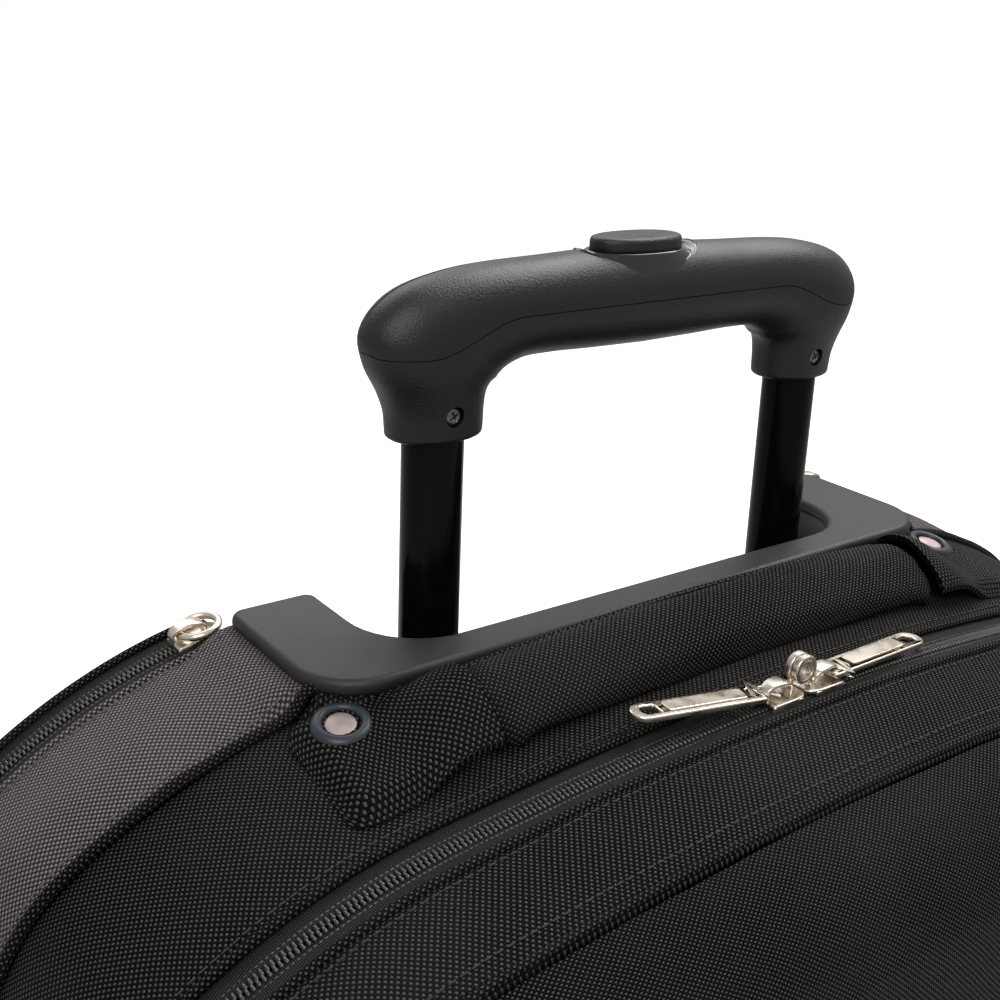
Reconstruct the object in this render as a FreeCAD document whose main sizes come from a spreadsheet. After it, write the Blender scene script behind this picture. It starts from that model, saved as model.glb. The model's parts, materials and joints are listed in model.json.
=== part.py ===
# Rolling laptop case: soft shell, moulded base, two-stage handle, wheels and zips.
#
# Millimetres. Origin on the floor under the middle of the case, +X to the right
# seen from the front, front towards -Y, +Z up. The handle stands a little way out
# of the case in the rest pose.
import FreeCAD, Part
import math
import os
import re
import Sketcher
from FreeCAD import Placement, Rotation, Vector

os.makedirs("parts", exist_ok=True)
doc = FreeCAD.newDocument("RollingLaptopCase")

DRIVING = {
    # outline of the soft shell, seen from the front
    "crown_radius": 1100.0, "crown_reach": 125.0, "shoulder_radius": 160.0,
    "corner_radius": 50.0, "low_radius": 8.0, "half_width": 221.0,
    "top_rear": 394.0, "top_seam": 391.5, "top_zip": 381.0, "top_lid": 373.0,
    "base_line": 46.0, "lid_base": 47.0, "wall": 3.0, "panel_round": 30.0, "fit_gap": 0.2,
    # depths, front to back
    "front_face": -100.0, "lid_seam": -66.0, "zip_line": -30.0, "band_seam": 32.0,
    "rear_zip_line": 90.0, "back_face": 102.0,
    # zips
    "tape_half": 9.0, "tape_thick": 1.2, "tape_sink": 1.0, "slit_half": 0.8, "tape_end": 10.0,
    # trolley cap
    "cap_top": 395.0, "cap_bottom": 371.0, "cap_half": 131.0, "cap_front": 20.0, "cap_lip": 5.4,
    "cap_back": 83.0, "cap_corner": 20.0, "well_inset": 8.0, "recess_half": 102.0, "recess_front": 34.0,
    "recess_floor": 377.0, "recess_corner": 12.0, "apron_bottom": 340.0,
    "ramp_start": 63.0, "ramp_lean": 32.0, "ledge_drop": 24.4,
    # telescopic handle
    "tube_gap": 155.0, "tube_line": 52.0, "tube_wall": 1.0, "inner_radius": 9.5,
    "mid_radius": 11.2, "outer_radius": 13.0, "running": 0.05,
    "outer_foot": 56.0, "mid_foot": 74.0, "mid_head": 372.0, "inner_foot": 164.0,
    "stow_travel": 74.0, "reach_travel": 188.0,
    "plug_height": 14.0, "bush_height": 18.0,
    "grip_foot": 452.0, "socket_depth": 20.0, "stop_radius": 2.2,
    # grip and its button
    "grip_depth": 14.5, "grip_reach": 86.0, "grip_middle": 28.0, "grip_end_height": 18.0,
    "button_long": 34.0, "button_wide": 20.0, "button_base": 43.0, "button_top": 56.0,
    "cavity_half": 84.0, "cavity_deep": 8.5, "cavity_floor": 23.3, "cavity_roof": 42.0,
    "yoke_base": 34.0, "yoke_half": 82.0, "rod_radius": 2.5, "screw_rise": 8.0, "screw_radius": 2.9,
    "spring_radius": 3.6, "spring_wire": 0.5, "spring_pitch": 1.9, "spring_turns": 5.0,
    "pin_radius": 2.0, "pin_length": 6.0,
    # wheels
    "wheel_radius": 36.0, "wheel_width": 24.0, "wheel_line": 82.0, "wheel_centre": 194.0,
    "rim_radius": 25.0, "axle_radius": 4.0, "well_gap": 4.0, "side_gap": 2.0,
    "boss_radius": 9.0, "hub_dish": 6.0,
    "housing_top": 104.0, "housing_front": 37.0, "housing_inner": 168.0,
    # base tray and feet
    "tray_bottom": 22.0, "tray_corner": 30.0, "foot_radius": 13.0,
    "foot_reach": 170.0, "foot_line": -72.0, "foot_dome": 8.0, "tray_wall": 4.0,
    # back lid
    "lid_hinge": 112.0,
    # front pocket and the organiser behind the panel
    "pocket_half": 166.0, "pocket_low": 84.0, "pocket_high": 262.0, "pocket_corner": 14.0,
    "pocket_deep": 18.0, "pocket_round": 8.0, "pocket_tape_half": 160.0, "pocket_mouth_half": 158.0,
    "organiser_half": 170.0, "organiser_low": 70.0, "organiser_high": 300.0, "organiser_deep": 4.0,
    # inside
    "board_line": 33.0, "board_thick": 3.0, "laptop_half": 200.0, "laptop_depth": 38.0,
    "sleeve_base": 62.0, "sleeve_top": 326.0, "padding": 5.0,
    # carry handle
    "pad_half": 94.0, "pad_front": -13.0, "pad_back": 17.5, "pad_base": 389.5,
    "pad_thick": 12.0, "rivet_reach": 127.5, "rivet_line": 18.0, "strap_lean": 6.0,
    "strap_rise": 396.8, "rivet_rise": 386.2, "rivet_radius": 8.7,
    # sliders and pulls
    "slider_half": 7.5, "slider_wide": 5.0, "bridge_half": 1.5, "bridge_top": 6.6, "tunnel_radius": 1.7,
    "tunnel_rise": 4.4, "tunnel_back": 2.6, "eye_radius": 4.6, "eye_hole": 3.0, "eye_rise": 9.0,
    "eye_thick": 2.0, "ring_radius": 4.9, "ring_wire": 1.1, "bar_radius": 0.9,
    "pull_long": 48.0, "pull_wide": 9.0, "pull_thick": 1.8,
    "side_park": 138.0, "meet_line": 2.0, "pocket_park": 108.0, "pocket_line": 273.0,
}

sheet = doc.addObject("Spreadsheet::Sheet", "Dims")
for row, (alias, number) in enumerate(DRIVING.items(), start=1):
    sheet.set(f"A{row}", str(number))
    sheet.setAlias(f"A{row}", alias)
doc.recompute()

NODES = []


# ---------------------------------------------------------------- helpers
def size(alias):
    """A driving dimension as a number, read from the sheet."""
    return float(getattr(sheet, alias))


def formula(text):
    """Point every dimension name in an expression at its cell."""
    return re.sub(r"[a-z_]+",
                  lambda found: "Dims." + found[0] if found[0] in DRIVING else found[0], str(text))


def bind(thing, **sizes):
    for name, text in sizes.items():
        thing.setExpression(name, formula(text))
    return thing


def place(thing, at, axis=(0, 0, 1), angle=0.0):
    thing.Placement = Placement(Vector(), Rotation(Vector(*axis), angle))
    for letter, text in zip("xyz", at):
        thing.setExpression("Placement.Base." + letter, formula(text))
    return thing


def new(kind, label):
    thing = doc.addObject(kind, label)
    thing.Label = label
    return thing


def node(thing, label):
    """Name a finished sub-part and keep it for the export."""
    thing.Label = label
    NODES.append(thing)
    return thing


def box(label, low, high):
    """A box between two corners given as expressions."""
    solid = new("Part::Box", label)
    bind(solid, Length=f"({high[0]}) - ({low[0]})", Width=f"({high[1]}) - ({low[1]})",
         Height=f"({high[2]}) - ({low[2]})")
    return place(solid, low)


TURNS = {"x": ((0, 1, 0), 90.0), "y": ((1, 0, 0), -90.0), "z": ((0, 0, 1), 0.0)}


def cylinder(label, radius, height, at, along="z"):
    solid = new("Part::Cylinder", label)
    bind(solid, Radius=radius, Height=height)
    return place(solid, at, *TURNS[along])


def cone(label, radius_low, radius_high, height, at):
    solid = new("Part::Cone", label)
    bind(solid, Radius1=radius_low, Radius2=radius_high, Height=height)
    return place(solid, at)


def join(label, *solids):
    result = new("Part::MultiFuse", label)
    result.Shapes = list(solids)
    return result


def cut(label, base, *tools):
    result = new("Part::Cut", label)
    result.Base = base
    result.Tool = tools[0] if len(tools) == 1 else join(label + "_tools", *tools)
    return result


def common(label, base, tool):
    result = new("Part::Common", label)
    result.Base = base
    result.Tool = tool
    return result


def group(label, *solids):
    result = new("Part::Compound", label)
    result.Links = list(solids)
    return result


def mirrored(label, source):
    """The same piece on the other side of the middle."""
    result = new("Part::Mirroring", label)
    result.Source = source
    result.Normal = Vector(1, 0, 0)
    return result


def both(label, make):
    """One node for the left piece and one for the right piece."""
    right = node(make(label + "_right"), label + "_right")
    return node(mirrored(label + "_left", right), label + "_left")


def pair(label, right):
    """One node that holds a left and a right copy."""
    return node(group(label, right, mirrored(label + "_copy", right)), label)


def tube(label, outer, inner, low, high, x="0", y="0"):
    """An upright tube between two heights."""
    skin = cylinder(label + "_skin", outer, f"({high}) - ({low})", (x, y, low))
    bore = cylinder(label + "_bore", inner, f"({high}) - ({low}) + 2", (x, y, f"({low}) - 1"))
    return cut(label, skin, bore)


# ---------------------------------------------------------------- sketches
def new_body(label):
    return new("PartDesign::Body", label)


def new_sketch(body, name, plane, offset="0"):
    sketch = body.newObject("Sketcher::SketchObject", name)
    face = [item for item in body.Origin.OriginFeatures if item.Role == plane][0]
    sketch.AttachmentSupport = [(face, "")]
    sketch.MapMode = "FlatFace"
    sketch.setExpression("AttachmentOffset.Base.z", formula(offset))
    return sketch


def rule(sketch, constraint, text=None):
    """Add a constraint, driven by an expression when one is given."""
    index = sketch.addConstraint(constraint)
    if text is not None:
        sketch.setExpression(f"Constraints[{index}]", formula(text))


def arc(centre, radius, start, stop):
    circle = Part.Circle(Vector(centre[0], centre[1], 0), Vector(0, 0, 1), radius)
    return Part.ArcOfCircle(circle, start, stop)


def line(start, stop):
    return Part.LineSegment(Vector(start[0], start[1], 0), Vector(stop[0], stop[1], 0))


def rounded_box(sketch, low, high, radius):
    """A rectangle with four equal rounded corners, centred where its dimensions put it."""
    corner = 5.0
    x0, y0, x1, y1 = -20.0, -20.0, 20.0, 20.0
    quarter = math.pi / 2
    sketch.addGeometry([
        line((x0 + corner, y0), (x1 - corner, y0)),
        arc((x1 - corner, y0 + corner), corner, 3 * quarter, 4 * quarter),
        line((x1, y0 + corner), (x1, y1 - corner)),
        arc((x1 - corner, y1 - corner), corner, 0, quarter),
        line((x1 - corner, y1), (x0 + corner, y1)),
        arc((x0 + corner, y1 - corner), corner, quarter, 2 * quarter),
        line((x0, y1 - corner), (x0, y0 + corner)),
        arc((x0 + corner, y0 + corner), corner, 2 * quarter, 3 * quarter)], False)
    for index in range(8):
        rule(sketch, Sketcher.Constraint("Tangent", index, 2, (index + 1) % 8, 1))
    for index in (0, 4):
        rule(sketch, Sketcher.Constraint("Horizontal", index))
    for index in (2, 6):
        rule(sketch, Sketcher.Constraint("Vertical", index))
    for index in (3, 5, 7):
        rule(sketch, Sketcher.Constraint("Equal", 1, index))
    rule(sketch, Sketcher.Constraint("Radius", 1, corner), radius)
    rule(sketch, Sketcher.Constraint("DistanceX", -1, 1, 6, 1, x0), low[0])
    rule(sketch, Sketcher.Constraint("DistanceY", -1, 1, 0, 1, y0), low[1])
    rule(sketch, Sketcher.Constraint("DistanceX", -1, 1, 2, 1, x1), high[0])
    rule(sketch, Sketcher.Constraint("DistanceY", -1, 1, 4, 1, y1), high[1])


def pad(body, sketch, length, taper=0.0):
    feature = body.newObject("PartDesign::Pad", sketch.Name + "_pad")
    feature.Profile = sketch
    feature.TaperAngle = taper
    return bind(feature, Length=length)


def round_edges(body, base, radius, wanted):
    """Round the edges of a feature that a test picks."""
    doc.recompute()
    names = [f"Edge{index}" for index, edge in enumerate(base.Shape.Edges, start=1) if wanted(edge)]
    feature = body.newObject("PartDesign::Fillet", base.Name + "_round")
    feature.Base = (base, names)
    return bind(feature, Radius=radius)


def level(height, tolerance=0.05):
    """Picks the edges that lie at one height."""
    return lambda edge: abs(edge.BoundBox.ZMin - height) < tolerance > abs(edge.BoundBox.ZMax - height)


def at_depth(depth, tolerance=0.05):
    """Picks the edges that lie at one depth."""
    return lambda edge: abs(edge.BoundBox.YMin - depth) < tolerance > abs(edge.BoundBox.YMax - depth)


def slab(label, low, high, radius, bottom, top, plane="XY_Plane", taper=0.0):
    """A body padded from one rounded rectangle. Returns the body and its pad."""
    body = new_body(label)
    sketch = new_sketch(body, label + "_sketch", plane, bottom)
    rounded_box(sketch, low, high, radius)
    feature = pad(body, sketch, f"({top}) - ({bottom})", taper)
    return body, feature


def outline(body, name, depth, inset, top, base):
    """The shell's outline, inset by a wall, on a plane at one depth.

    top and base are dimension names. The top is a flat arc, each shoulder a
    tighter arc and each corner a tighter one again, all tangent.
    """
    sketch = new_sketch(body, name, "XZ_Plane", f"-({depth})")
    crown = size("crown_radius") - inset
    shoulder = size("shoulder_radius") - inset
    corner = size("corner_radius") - inset
    low = size("low_radius")
    half = size("half_width") - inset
    top_height = size(top) - inset
    base_height = size(base) + inset
    crown_angle = math.asin(size("crown_reach") / size("crown_radius"))
    crown_centre = top_height - crown
    shoulder_x = (crown - shoulder) * math.sin(crown_angle)
    shoulder_z = crown_centre + (crown - shoulder) * math.cos(crown_angle)
    across = half - corner - shoulder_x
    corner_z = shoulder_z + math.sqrt((shoulder - corner) ** 2 - across ** 2)
    shoulder_angle = math.atan2(across, corner_z - shoulder_z)
    quarter = math.pi / 2
    sketch.addGeometry([
        arc((0, crown_centre), crown, quarter - crown_angle, quarter + crown_angle),
        arc((-shoulder_x, shoulder_z), shoulder, quarter + crown_angle, quarter + shoulder_angle),
        arc((corner - half, corner_z), corner, quarter + shoulder_angle, 2 * quarter),
        line((-half, corner_z), (-half, base_height + low)),
        arc((low - half, base_height + low), low, 2 * quarter, 3 * quarter),
        line((low - half, base_height), (half - low, base_height)),
        arc((half - low, base_height + low), low, 3 * quarter, 4 * quarter),
        line((half, base_height + low), (half, corner_z)),
        arc((half - corner, corner_z), corner, 0, quarter - shoulder_angle),
        arc((shoulder_x, shoulder_z), shoulder, quarter - shoulder_angle, quarter - crown_angle)], False)
    for index in range(10):
        rule(sketch, Sketcher.Constraint("Tangent", index, 2, (index + 1) % 10, 1))
    rule(sketch, Sketcher.Constraint("Vertical", 3))
    rule(sketch, Sketcher.Constraint("Vertical", 7))
    rule(sketch, Sketcher.Constraint("Horizontal", 5))
    for one, other in ((1, 9), (2, 8), (4, 6)):
        rule(sketch, Sketcher.Constraint("Equal", one, other))
    rule(sketch, Sketcher.Constraint("PointOnObject", 0, 3, -2))
    rule(sketch, Sketcher.Constraint("Radius", 0, crown), f"crown_radius - {inset}")
    rule(sketch, Sketcher.Constraint("Radius", 9, shoulder), f"shoulder_radius - {inset}")
    rule(sketch, Sketcher.Constraint("Radius", 8, corner), f"corner_radius - {inset}")
    rule(sketch, Sketcher.Constraint("Radius", 6, low), "low_radius")
    reach = f"crown_reach * (crown_radius - {inset}) / crown_radius"
    rule(sketch, Sketcher.Constraint("DistanceX", -1, 1, 0, 1, crown * math.sin(crown_angle)), reach)
    rule(sketch, Sketcher.Constraint("DistanceX", -1, 1, 7, 1, half), f"half_width - {inset}")
    rule(sketch, Sketcher.Constraint("DistanceX", 3, 1, -1, 1, half), f"half_width - {inset}")
    rule(sketch, Sketcher.Constraint("DistanceY", -1, 1, 5, 1, base_height), f"{base} + {inset}")
    rule(sketch, Sketcher.Constraint("DistanceY", 0, 3, -1, 1, -crown_centre),
         f"crown_radius - {top}")
    return sketch


def band(label, front, back, base="base_line", inset=0.0, wall=None):
    """A ring of the shell between two (depth, top) stations; solid when wall is None."""
    body = new_body(label)
    feature = body.newObject("PartDesign::AdditiveLoft", label + "_skin")
    feature.Ruled = True
    feature.Profile = outline(body, label + "_front", front[0], inset, front[1], base)
    feature.Sections = [outline(body, label + "_back", back[0], inset, back[1], base)]
    if wall is not None:
        hollow = body.newObject("PartDesign::SubtractiveLoft", label + "_hollow")
        hollow.Ruled = True
        hollow.Profile = outline(body, label + "_front_in", front[0], inset + wall, front[1], base)
        hollow.Sections = [outline(body, label + "_back_in", back[0], inset + wall, back[1], base)]
    return body


def loft(label, rings):
    """A solid through ellipses: (centre, in-plane axis, second axis, half sizes)."""
    sections = []
    for index, (centre, first, second, halves) in enumerate(rings):
        ring = new("Part::Ellipse", f"{label}_ring{index}")
        bind(ring, MajorRadius=halves[0], MinorRadius=halves[1])
        turn = Rotation(Vector(*first), Vector(*second), Vector(*first).cross(Vector(*second)), "XYZ")
        ring.Placement = Placement(Vector(), turn)
        for letter, text in zip("xyz", centre):
            ring.setExpression("Placement.Base." + letter, formula(text))
        sections.append(ring)
    result = new("Part::Loft", label)
    result.Sections = sections
    result.Solid = True
    result.Ruled = False
    return result


WALL = size("wall")
FRONT_AXIS = Vector(0, 1, 0)


# ---------------------------------------------------------------- soft shell of the case
def cap_room(label):
    """The space the trolley cap takes out of the fabric around it."""
    return join(label,
                box(label + "_lip", ("-cap_half - fit_gap", "cap_front - fit_gap",
                                     "cap_top - cap_lip - fit_gap"),
                    ("cap_half + fit_gap", "back_face + 5", "cap_top + 5")),
                box(label + "_well", ("-cap_half + well_inset - fit_gap", "cap_front + well_inset - fit_gap",
                                      "cap_bottom - fit_gap"),
                    ("cap_half - well_inset + fit_gap", "back_face + 5", "cap_top")),
                box(label + "_apron", ("-cap_half - fit_gap", "cap_back - 8", "apron_bottom - 1.5"),
                    ("cap_half + fit_gap", "back_face + 5", "cap_top")))


def housing_room(label):
    """The corner that a wheel housing takes out of the fabric, on both sides."""
    right = box(label + "_one", ("housing_inner - fit_gap", "housing_front - fit_gap", "base_line - 5"),
                ("half_width + 5", "back_face + 5", "housing_top + fit_gap"))
    return join(label, right, mirrored(label + "_two", right))


rear_band = band("rear_band", ("band_seam", "top_seam"), ("rear_zip_line - tape_half", "top_rear"),
                 wall=WALL)
node(cut("rear_gusset_cut", rear_band, cap_room("rear_cap_room"), housing_room("rear_housing_room")),
     "rear_gusset")

main_band = band("main_band", ("zip_line + tape_half", "top_zip"), ("band_seam - fit_gap", "top_seam"),
                 wall=WALL)
node(cut("main_gusset_cut", main_band, cap_room("main_cap_room")), "main_gusset")


def tape(label, front, back, base):
    """One zip tape: a thin ring let into the shell's outline."""
    return band(label, front, back, base=base, inset=size("tape_sink"), wall=size("tape_thick"))


def low_cut(label, height):
    """Everything below one height, as a tool."""
    return box(label, ("-half_width - 9", "front_face - 9", "0"),
               ("half_width + 9", "back_face + 9", height))


main_tape_case = tape("main_tape_case", ("zip_line + slit_half", "top_zip"),
                      ("zip_line + tape_half - 0.1", "top_zip"), "base_line")
node(cut("main_zip_case_cut", main_tape_case, low_cut("main_tape_case_low", "lid_base + tape_end")),
     "main_zip_case")

rear_tape_case = tape("rear_tape_case", ("rear_zip_line - tape_half + 0.1", "top_rear"),
                      ("rear_zip_line - slit_half", "top_rear"), "base_line")
node(cut("rear_zip_case_cut", rear_tape_case, low_cut("rear_tape_case_low", "lid_hinge + tape_end"),
         cap_room("rear_tape_cap_room")), "rear_zip_case")

# ---------------------------------------------------------------- front lid
front_band = band("front_band", ("lid_seam", "top_lid"), ("zip_line - tape_half", "top_zip"),
                  base="lid_base", wall=WALL)
node(front_band, "front_gusset")

main_tape_lid = tape("main_tape_lid", ("zip_line - tape_half + 0.1", "top_zip"),
                     ("zip_line - slit_half", "top_zip"), "lid_base")
node(cut("main_zip_lid_cut", main_tape_lid, low_cut("main_tape_lid_low", "lid_base + tape_end")),
     "main_zip_lid")


def front_shell(label, inset, face, rounding):
    """The front panel's outer or inner form, rounded all round its front edge."""
    body = new_body(label)
    sketch = outline(body, label + "_sketch", "lid_seam - fit_gap", inset, "top_lid", "lid_base")
    feature = pad(body, sketch, f"lid_seam - fit_gap - ({face})")
    round_edges(body, feature, rounding, at_depth(size("front_face") + inset))
    return body


pocket_room = box("front_pocket_room", ("-pocket_half - fit_gap", "front_face - 9", "pocket_low - fit_gap"),
                  ("pocket_half + fit_gap", "front_face + 1 + fit_gap", "pocket_line + 17"))
pocket_mouth = box("pocket_mouth", ("-pocket_mouth_half", "front_face - 9", "pocket_line - 6"),
                   ("pocket_mouth_half", "front_face + 9", "pocket_line + 6"))
node(cut("front_panel_cut", front_shell("front_outer", 0.0, "front_face", "panel_round"),
         front_shell("front_inner", WALL, "front_face + wall", "panel_round - wall"),
         pocket_room, pocket_mouth), "front_panel")

pocket_body, pocket_pad = slab("pocket_slab", ("-pocket_half", "pocket_low"), ("pocket_half", "pocket_high"),
                               "pocket_corner", "-front_face - 1", "-front_face + pocket_deep",
                               plane="XZ_Plane")
round_edges(pocket_body, pocket_pad, "pocket_round", at_depth(size("front_face") - size("pocket_deep")))
node(pocket_body, "front_pocket")

pocket_tapes = [box(f"pocket_tape{side}", ("-pocket_tape_half", "front_face - tape_thick", low),
                    ("pocket_tape_half", "front_face + 1", high))
                for side, low, high in (("_low", "pocket_line - tape_half - 1", "pocket_line - slit_half"),
                                        ("_high", "pocket_line + slit_half", "pocket_line + tape_half + 1"))]
node(group("pocket_zip_pair", *pocket_tapes), "pocket_zip")

organiser_body, organiser_pad = slab("organiser_slab", ("-organiser_half", "organiser_low"),
                                     ("organiser_half", "organiser_high"), "12",
                                     "-lid_seam", "-lid_seam + organiser_deep", plane="XZ_Plane")
node(organiser_body, "lid_organiser")

# ---------------------------------------------------------------- back lid
back_band = band("back_band", ("rear_zip_line + tape_half", "top_rear"), ("back_face", "top_rear"),
                 base="lid_hinge", inset=3.0)
node(cut("back_panel_cut", back_band, cap_room("back_cap_room")), "back_panel")

rear_tape_lid = tape("rear_tape_lid", ("rear_zip_line + slit_half", "top_rear"),
                     ("rear_zip_line + tape_half - 0.1", "top_rear"), "lid_hinge")
node(cut("rear_zip_lid_cut", rear_tape_lid, low_cut("rear_tape_lid_low", "lid_hinge + tape_end"),
         cap_room("rear_lid_cap_room")), "rear_zip_lid")

# ---------------------------------------------------------------- base tray, kick plate, feet
tray_body, tray_pad = slab("tray_slab", ("-half_width", "front_face + 4"), ("half_width", "back_face"),
                           "tray_corner", "tray_bottom", "base_line - fit_gap")
round_edges(tray_body, tray_pad, "10", level(size("tray_bottom")))
tray_well, well_pad = slab("tray_well", ("-half_width + tray_wall", "front_face + 4 + tray_wall"),
                           ("half_width - tray_wall", "back_face - tray_wall"), "tray_corner - tray_wall",
                           "tray_bottom + tray_wall", "base_line + 5")


def wheel_corner(label):
    """The corner that a wheel housing takes out of the tray, on both sides."""
    right = box(label + "_one", ("housing_inner - fit_gap", "housing_front - fit_gap", "tray_bottom - 5"),
                ("half_width + 9", "back_face + 9", "base_line + 5"))
    return join(label, right, mirrored(label + "_two", right))


node(cut("bottom_tray_cut", tray_body, tray_well, wheel_corner("tray_corners")), "bottom_tray")

node(box("kick_plate", ("-housing_inner + 2 * fit_gap", "back_face - 11", "base_line + fit_gap"),
         ("housing_inner - 2 * fit_gap", "back_face + 2", "lid_hinge - 4")), "kick_plate")

foot = join("foot",
            cone("foot_nose", "foot_radius - 3", "foot_radius", "foot_dome",
                 ("foot_reach", "foot_line", "0")),
            cylinder("foot_stem", "foot_radius", "tray_bottom - foot_dome",
                     ("foot_reach", "foot_line", "foot_dome")))
pair("front_feet", foot)

# ---------------------------------------------------------------- wheels
WHEEL_AT = ("wheel_line", "wheel_radius")


def along_axle(label, radius, start, stop):
    return cylinder(label, radius, f"({stop}) - ({start})", (start, *WHEEL_AT), "x")


def housing(label):
    """A corner guard with a well for the wheel, open below and behind."""
    body, block = slab(label + "_block", ("housing_inner", "housing_front"),
                       ("half_width + 2", "back_face + 2"), "6", "tray_bottom", "housing_top")
    round_edges(body, block, "5", level(size("housing_top")))
    low = "wheel_centre - wheel_width / 2 - side_gap"
    high = "wheel_centre + wheel_width / 2 + side_gap"
    well = join(label + "_well",
                along_axle(label + "_drum", "wheel_radius + well_gap", low, high),
                box(label + "_below", (low, "wheel_line - wheel_radius - well_gap", "0"),
                    (high, "back_face + 20", "wheel_radius")),
                box(label + "_behind", (low, "wheel_line", "0"),
                    (high, "back_face + 20", "2 * wheel_radius + well_gap")))
    bore = along_axle(label + "_bore", "axle_radius", "housing_inner + 4", "half_width + 9")
    return cut(label, body, well, bore)


def axle(label):
    """A pin with a head, held in the housing's inner wall."""
    shaft = along_axle(label + "_shaft", "axle_radius - running", "housing_inner + 4.2", "half_width + 1")
    head = along_axle(label + "_head", "axle_radius + 3", "half_width + 2.1", "half_width + 4.5")
    neck = along_axle(label + "_neck", "axle_radius - running", "half_width + 1", "half_width + 2.1")
    return join(label, shaft, neck, head)


def hub(label):
    """A rim and a boss joined by a thin dished web."""
    half = "wheel_width / 2"
    rim = along_axle(label + "_rim", "rim_radius", f"wheel_centre - {half} + 1", f"wheel_centre + {half} - 1")
    boss = along_axle(label + "_boss", "boss_radius", f"wheel_centre - {half} - 1",
                      f"wheel_centre + {half} + 1")
    dish_in = along_axle(label + "_dish_in", "rim_radius - 4", f"wheel_centre - {half} - 5",
                         f"wheel_centre - {half} + 1 + hub_dish")
    dish_out = along_axle(label + "_dish_out", "rim_radius - 4", f"wheel_centre + {half} - 1 - hub_dish",
                          f"wheel_centre + {half} + 5")
    bore = along_axle(label + "_bore", "axle_radius + running", "housing_inner", "half_width")
    dished = cut(label + "_dished", rim, dish_in, dish_out)
    return cut(label, join(label + "_solid", dished, boss), bore)


def tyre(label):
    """A rubber tread turned about the axle, with rounded shoulders."""
    body = new_body(label + "_turned")
    sketch = new_sketch(body, label + "_sketch", "XZ_Plane")
    rounded_box(sketch, ("-wheel_width / 2", "rim_radius"), ("wheel_width / 2", "wheel_radius"), "4")
    turned = body.newObject("PartDesign::Revolution", label + "_turn")
    turned.Profile = sketch
    turned.ReferenceAxis = (sketch, ["H_Axis"])
    turned.Angle = 360.0
    return place(body, ("wheel_centre", *WHEEL_AT))


both("wheel_housing", housing)
both("axle", axle)
both("wheel_hub", hub)
both("wheel_tyre", tyre)

# ---------------------------------------------------------------- trolley cap
cap_body, cap_pad = slab("cap_block", ("-cap_half", "cap_front"), ("cap_half", "cap_back"), "cap_corner",
                         "cap_top - cap_lip", "cap_top")
cap_square = box("cap_square", ("-cap_half", "cap_back - cap_corner - 1", "cap_top - cap_lip"),
                 ("cap_half", "cap_back", "cap_top"))
cap_well = box("cap_well", ("-cap_half + well_inset", "cap_front + well_inset", "cap_bottom"),
               ("cap_half - well_inset", "cap_back", "cap_top - cap_lip"))
apron = box("cap_apron", ("-cap_half", "cap_back - 7", "apron_bottom"),
            ("cap_half", "back_face", "recess_floor - ledge_drop"))
ramp_wall = box("ramp_wall", ("-cap_half", "cap_back - 7", "recess_floor - ledge_drop - 2"),
                ("cap_half", "cap_back", "recess_floor - 3"))
ramp_block = box("ramp_block", ("-recess_half - 4", "cap_back - 17", "recess_floor - ledge_drop - 2"),
                 ("recess_half + 4", "cap_back - 6", "recess_floor - 3"))
ramp_cut = new("Part::Box", "ramp_cut")
bind(ramp_cut, Length="2 * recess_half", Width="60", Height="40")
place(ramp_cut, ("-recess_half", "ramp_start", "recess_floor"), (1, 0, 0), -size("ramp_lean"))
recess_body, recess_pad = slab("cap_recess", ("-recess_half", "recess_front"),
                               ("recess_half", "back_face + 40"), "recess_corner",
                               "recess_floor", "cap_top + 5")
collar_room = cylinder("collar_room", "outer_radius + 1", "30",
                       ("tube_gap / 2", "tube_line", "cap_bottom - 9"))
cap_rough = join("cap_rough", cap_body, cap_square, cap_well, apron, ramp_wall, ramp_block)
node(cut("top_cap_cut", cap_rough, recess_body, ramp_cut, collar_room,
         mirrored("collar_room_left", collar_room)), "top_cap")

# ---------------------------------------------------------------- telescopic handle
RIGHT = ("tube_gap / 2", "tube_line")


def upright(label, outer, inner, low, high):
    return tube(label, outer, inner, low, high, *RIGHT)


def flanged(label, flange, shank, bore, foot, head):
    """A bush: a shank inside a tube and a thin flange on the tube's end."""
    return join(label, upright(label + "_shank", shank, bore, f"{head} - bush_height", head),
                upright(label + "_flange", flange, bore, head, f"{head} + 2"))


pair("outer_tubes", upright("outer_tube", "outer_radius", "outer_radius - tube_wall",
                            "outer_foot", "cap_bottom - fit_gap"))
pair("tube_bushes", flanged("outer_bush", "outer_radius + 0.8", "outer_radius - tube_wall",
                            "mid_radius + running", "outer_foot", "cap_bottom - fit_gap"))
mid_stops = [cylinder(f"mid_stop{index}", "stop_radius", "30",
                      ("tube_gap / 2 - 30", "tube_line", height), "x")
             for index, height in enumerate(("inner_foot - plug_height / 2 - stow_travel",
                                             "inner_foot - plug_height / 2 + reach_travel"))]
mid_tube = cut("mid_tube", upright("mid_tube_plain", "mid_radius", "mid_radius - tube_wall",
                                   "mid_foot", "mid_head"), *mid_stops)
pair("mid_tubes", mid_tube)
pair("mid_bushes", flanged("mid_bush", "mid_radius", "mid_radius - tube_wall",
                           "inner_radius + running", "mid_foot", "mid_head"))
pair("mid_plugs", upright("mid_plug", "outer_radius - tube_wall - running", "6",
                          "mid_foot - plug_height", "mid_foot"))
pair("inner_tubes", upright("inner_tube", "inner_radius", "inner_radius - tube_wall",
                            "inner_foot", "grip_foot + socket_depth"))
pin_bore = cylinder("pin_bore", "pin_radius + running", "30",
                    ("tube_gap / 2 - 30", "tube_line", "inner_foot - plug_height / 2"), "x")
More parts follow.
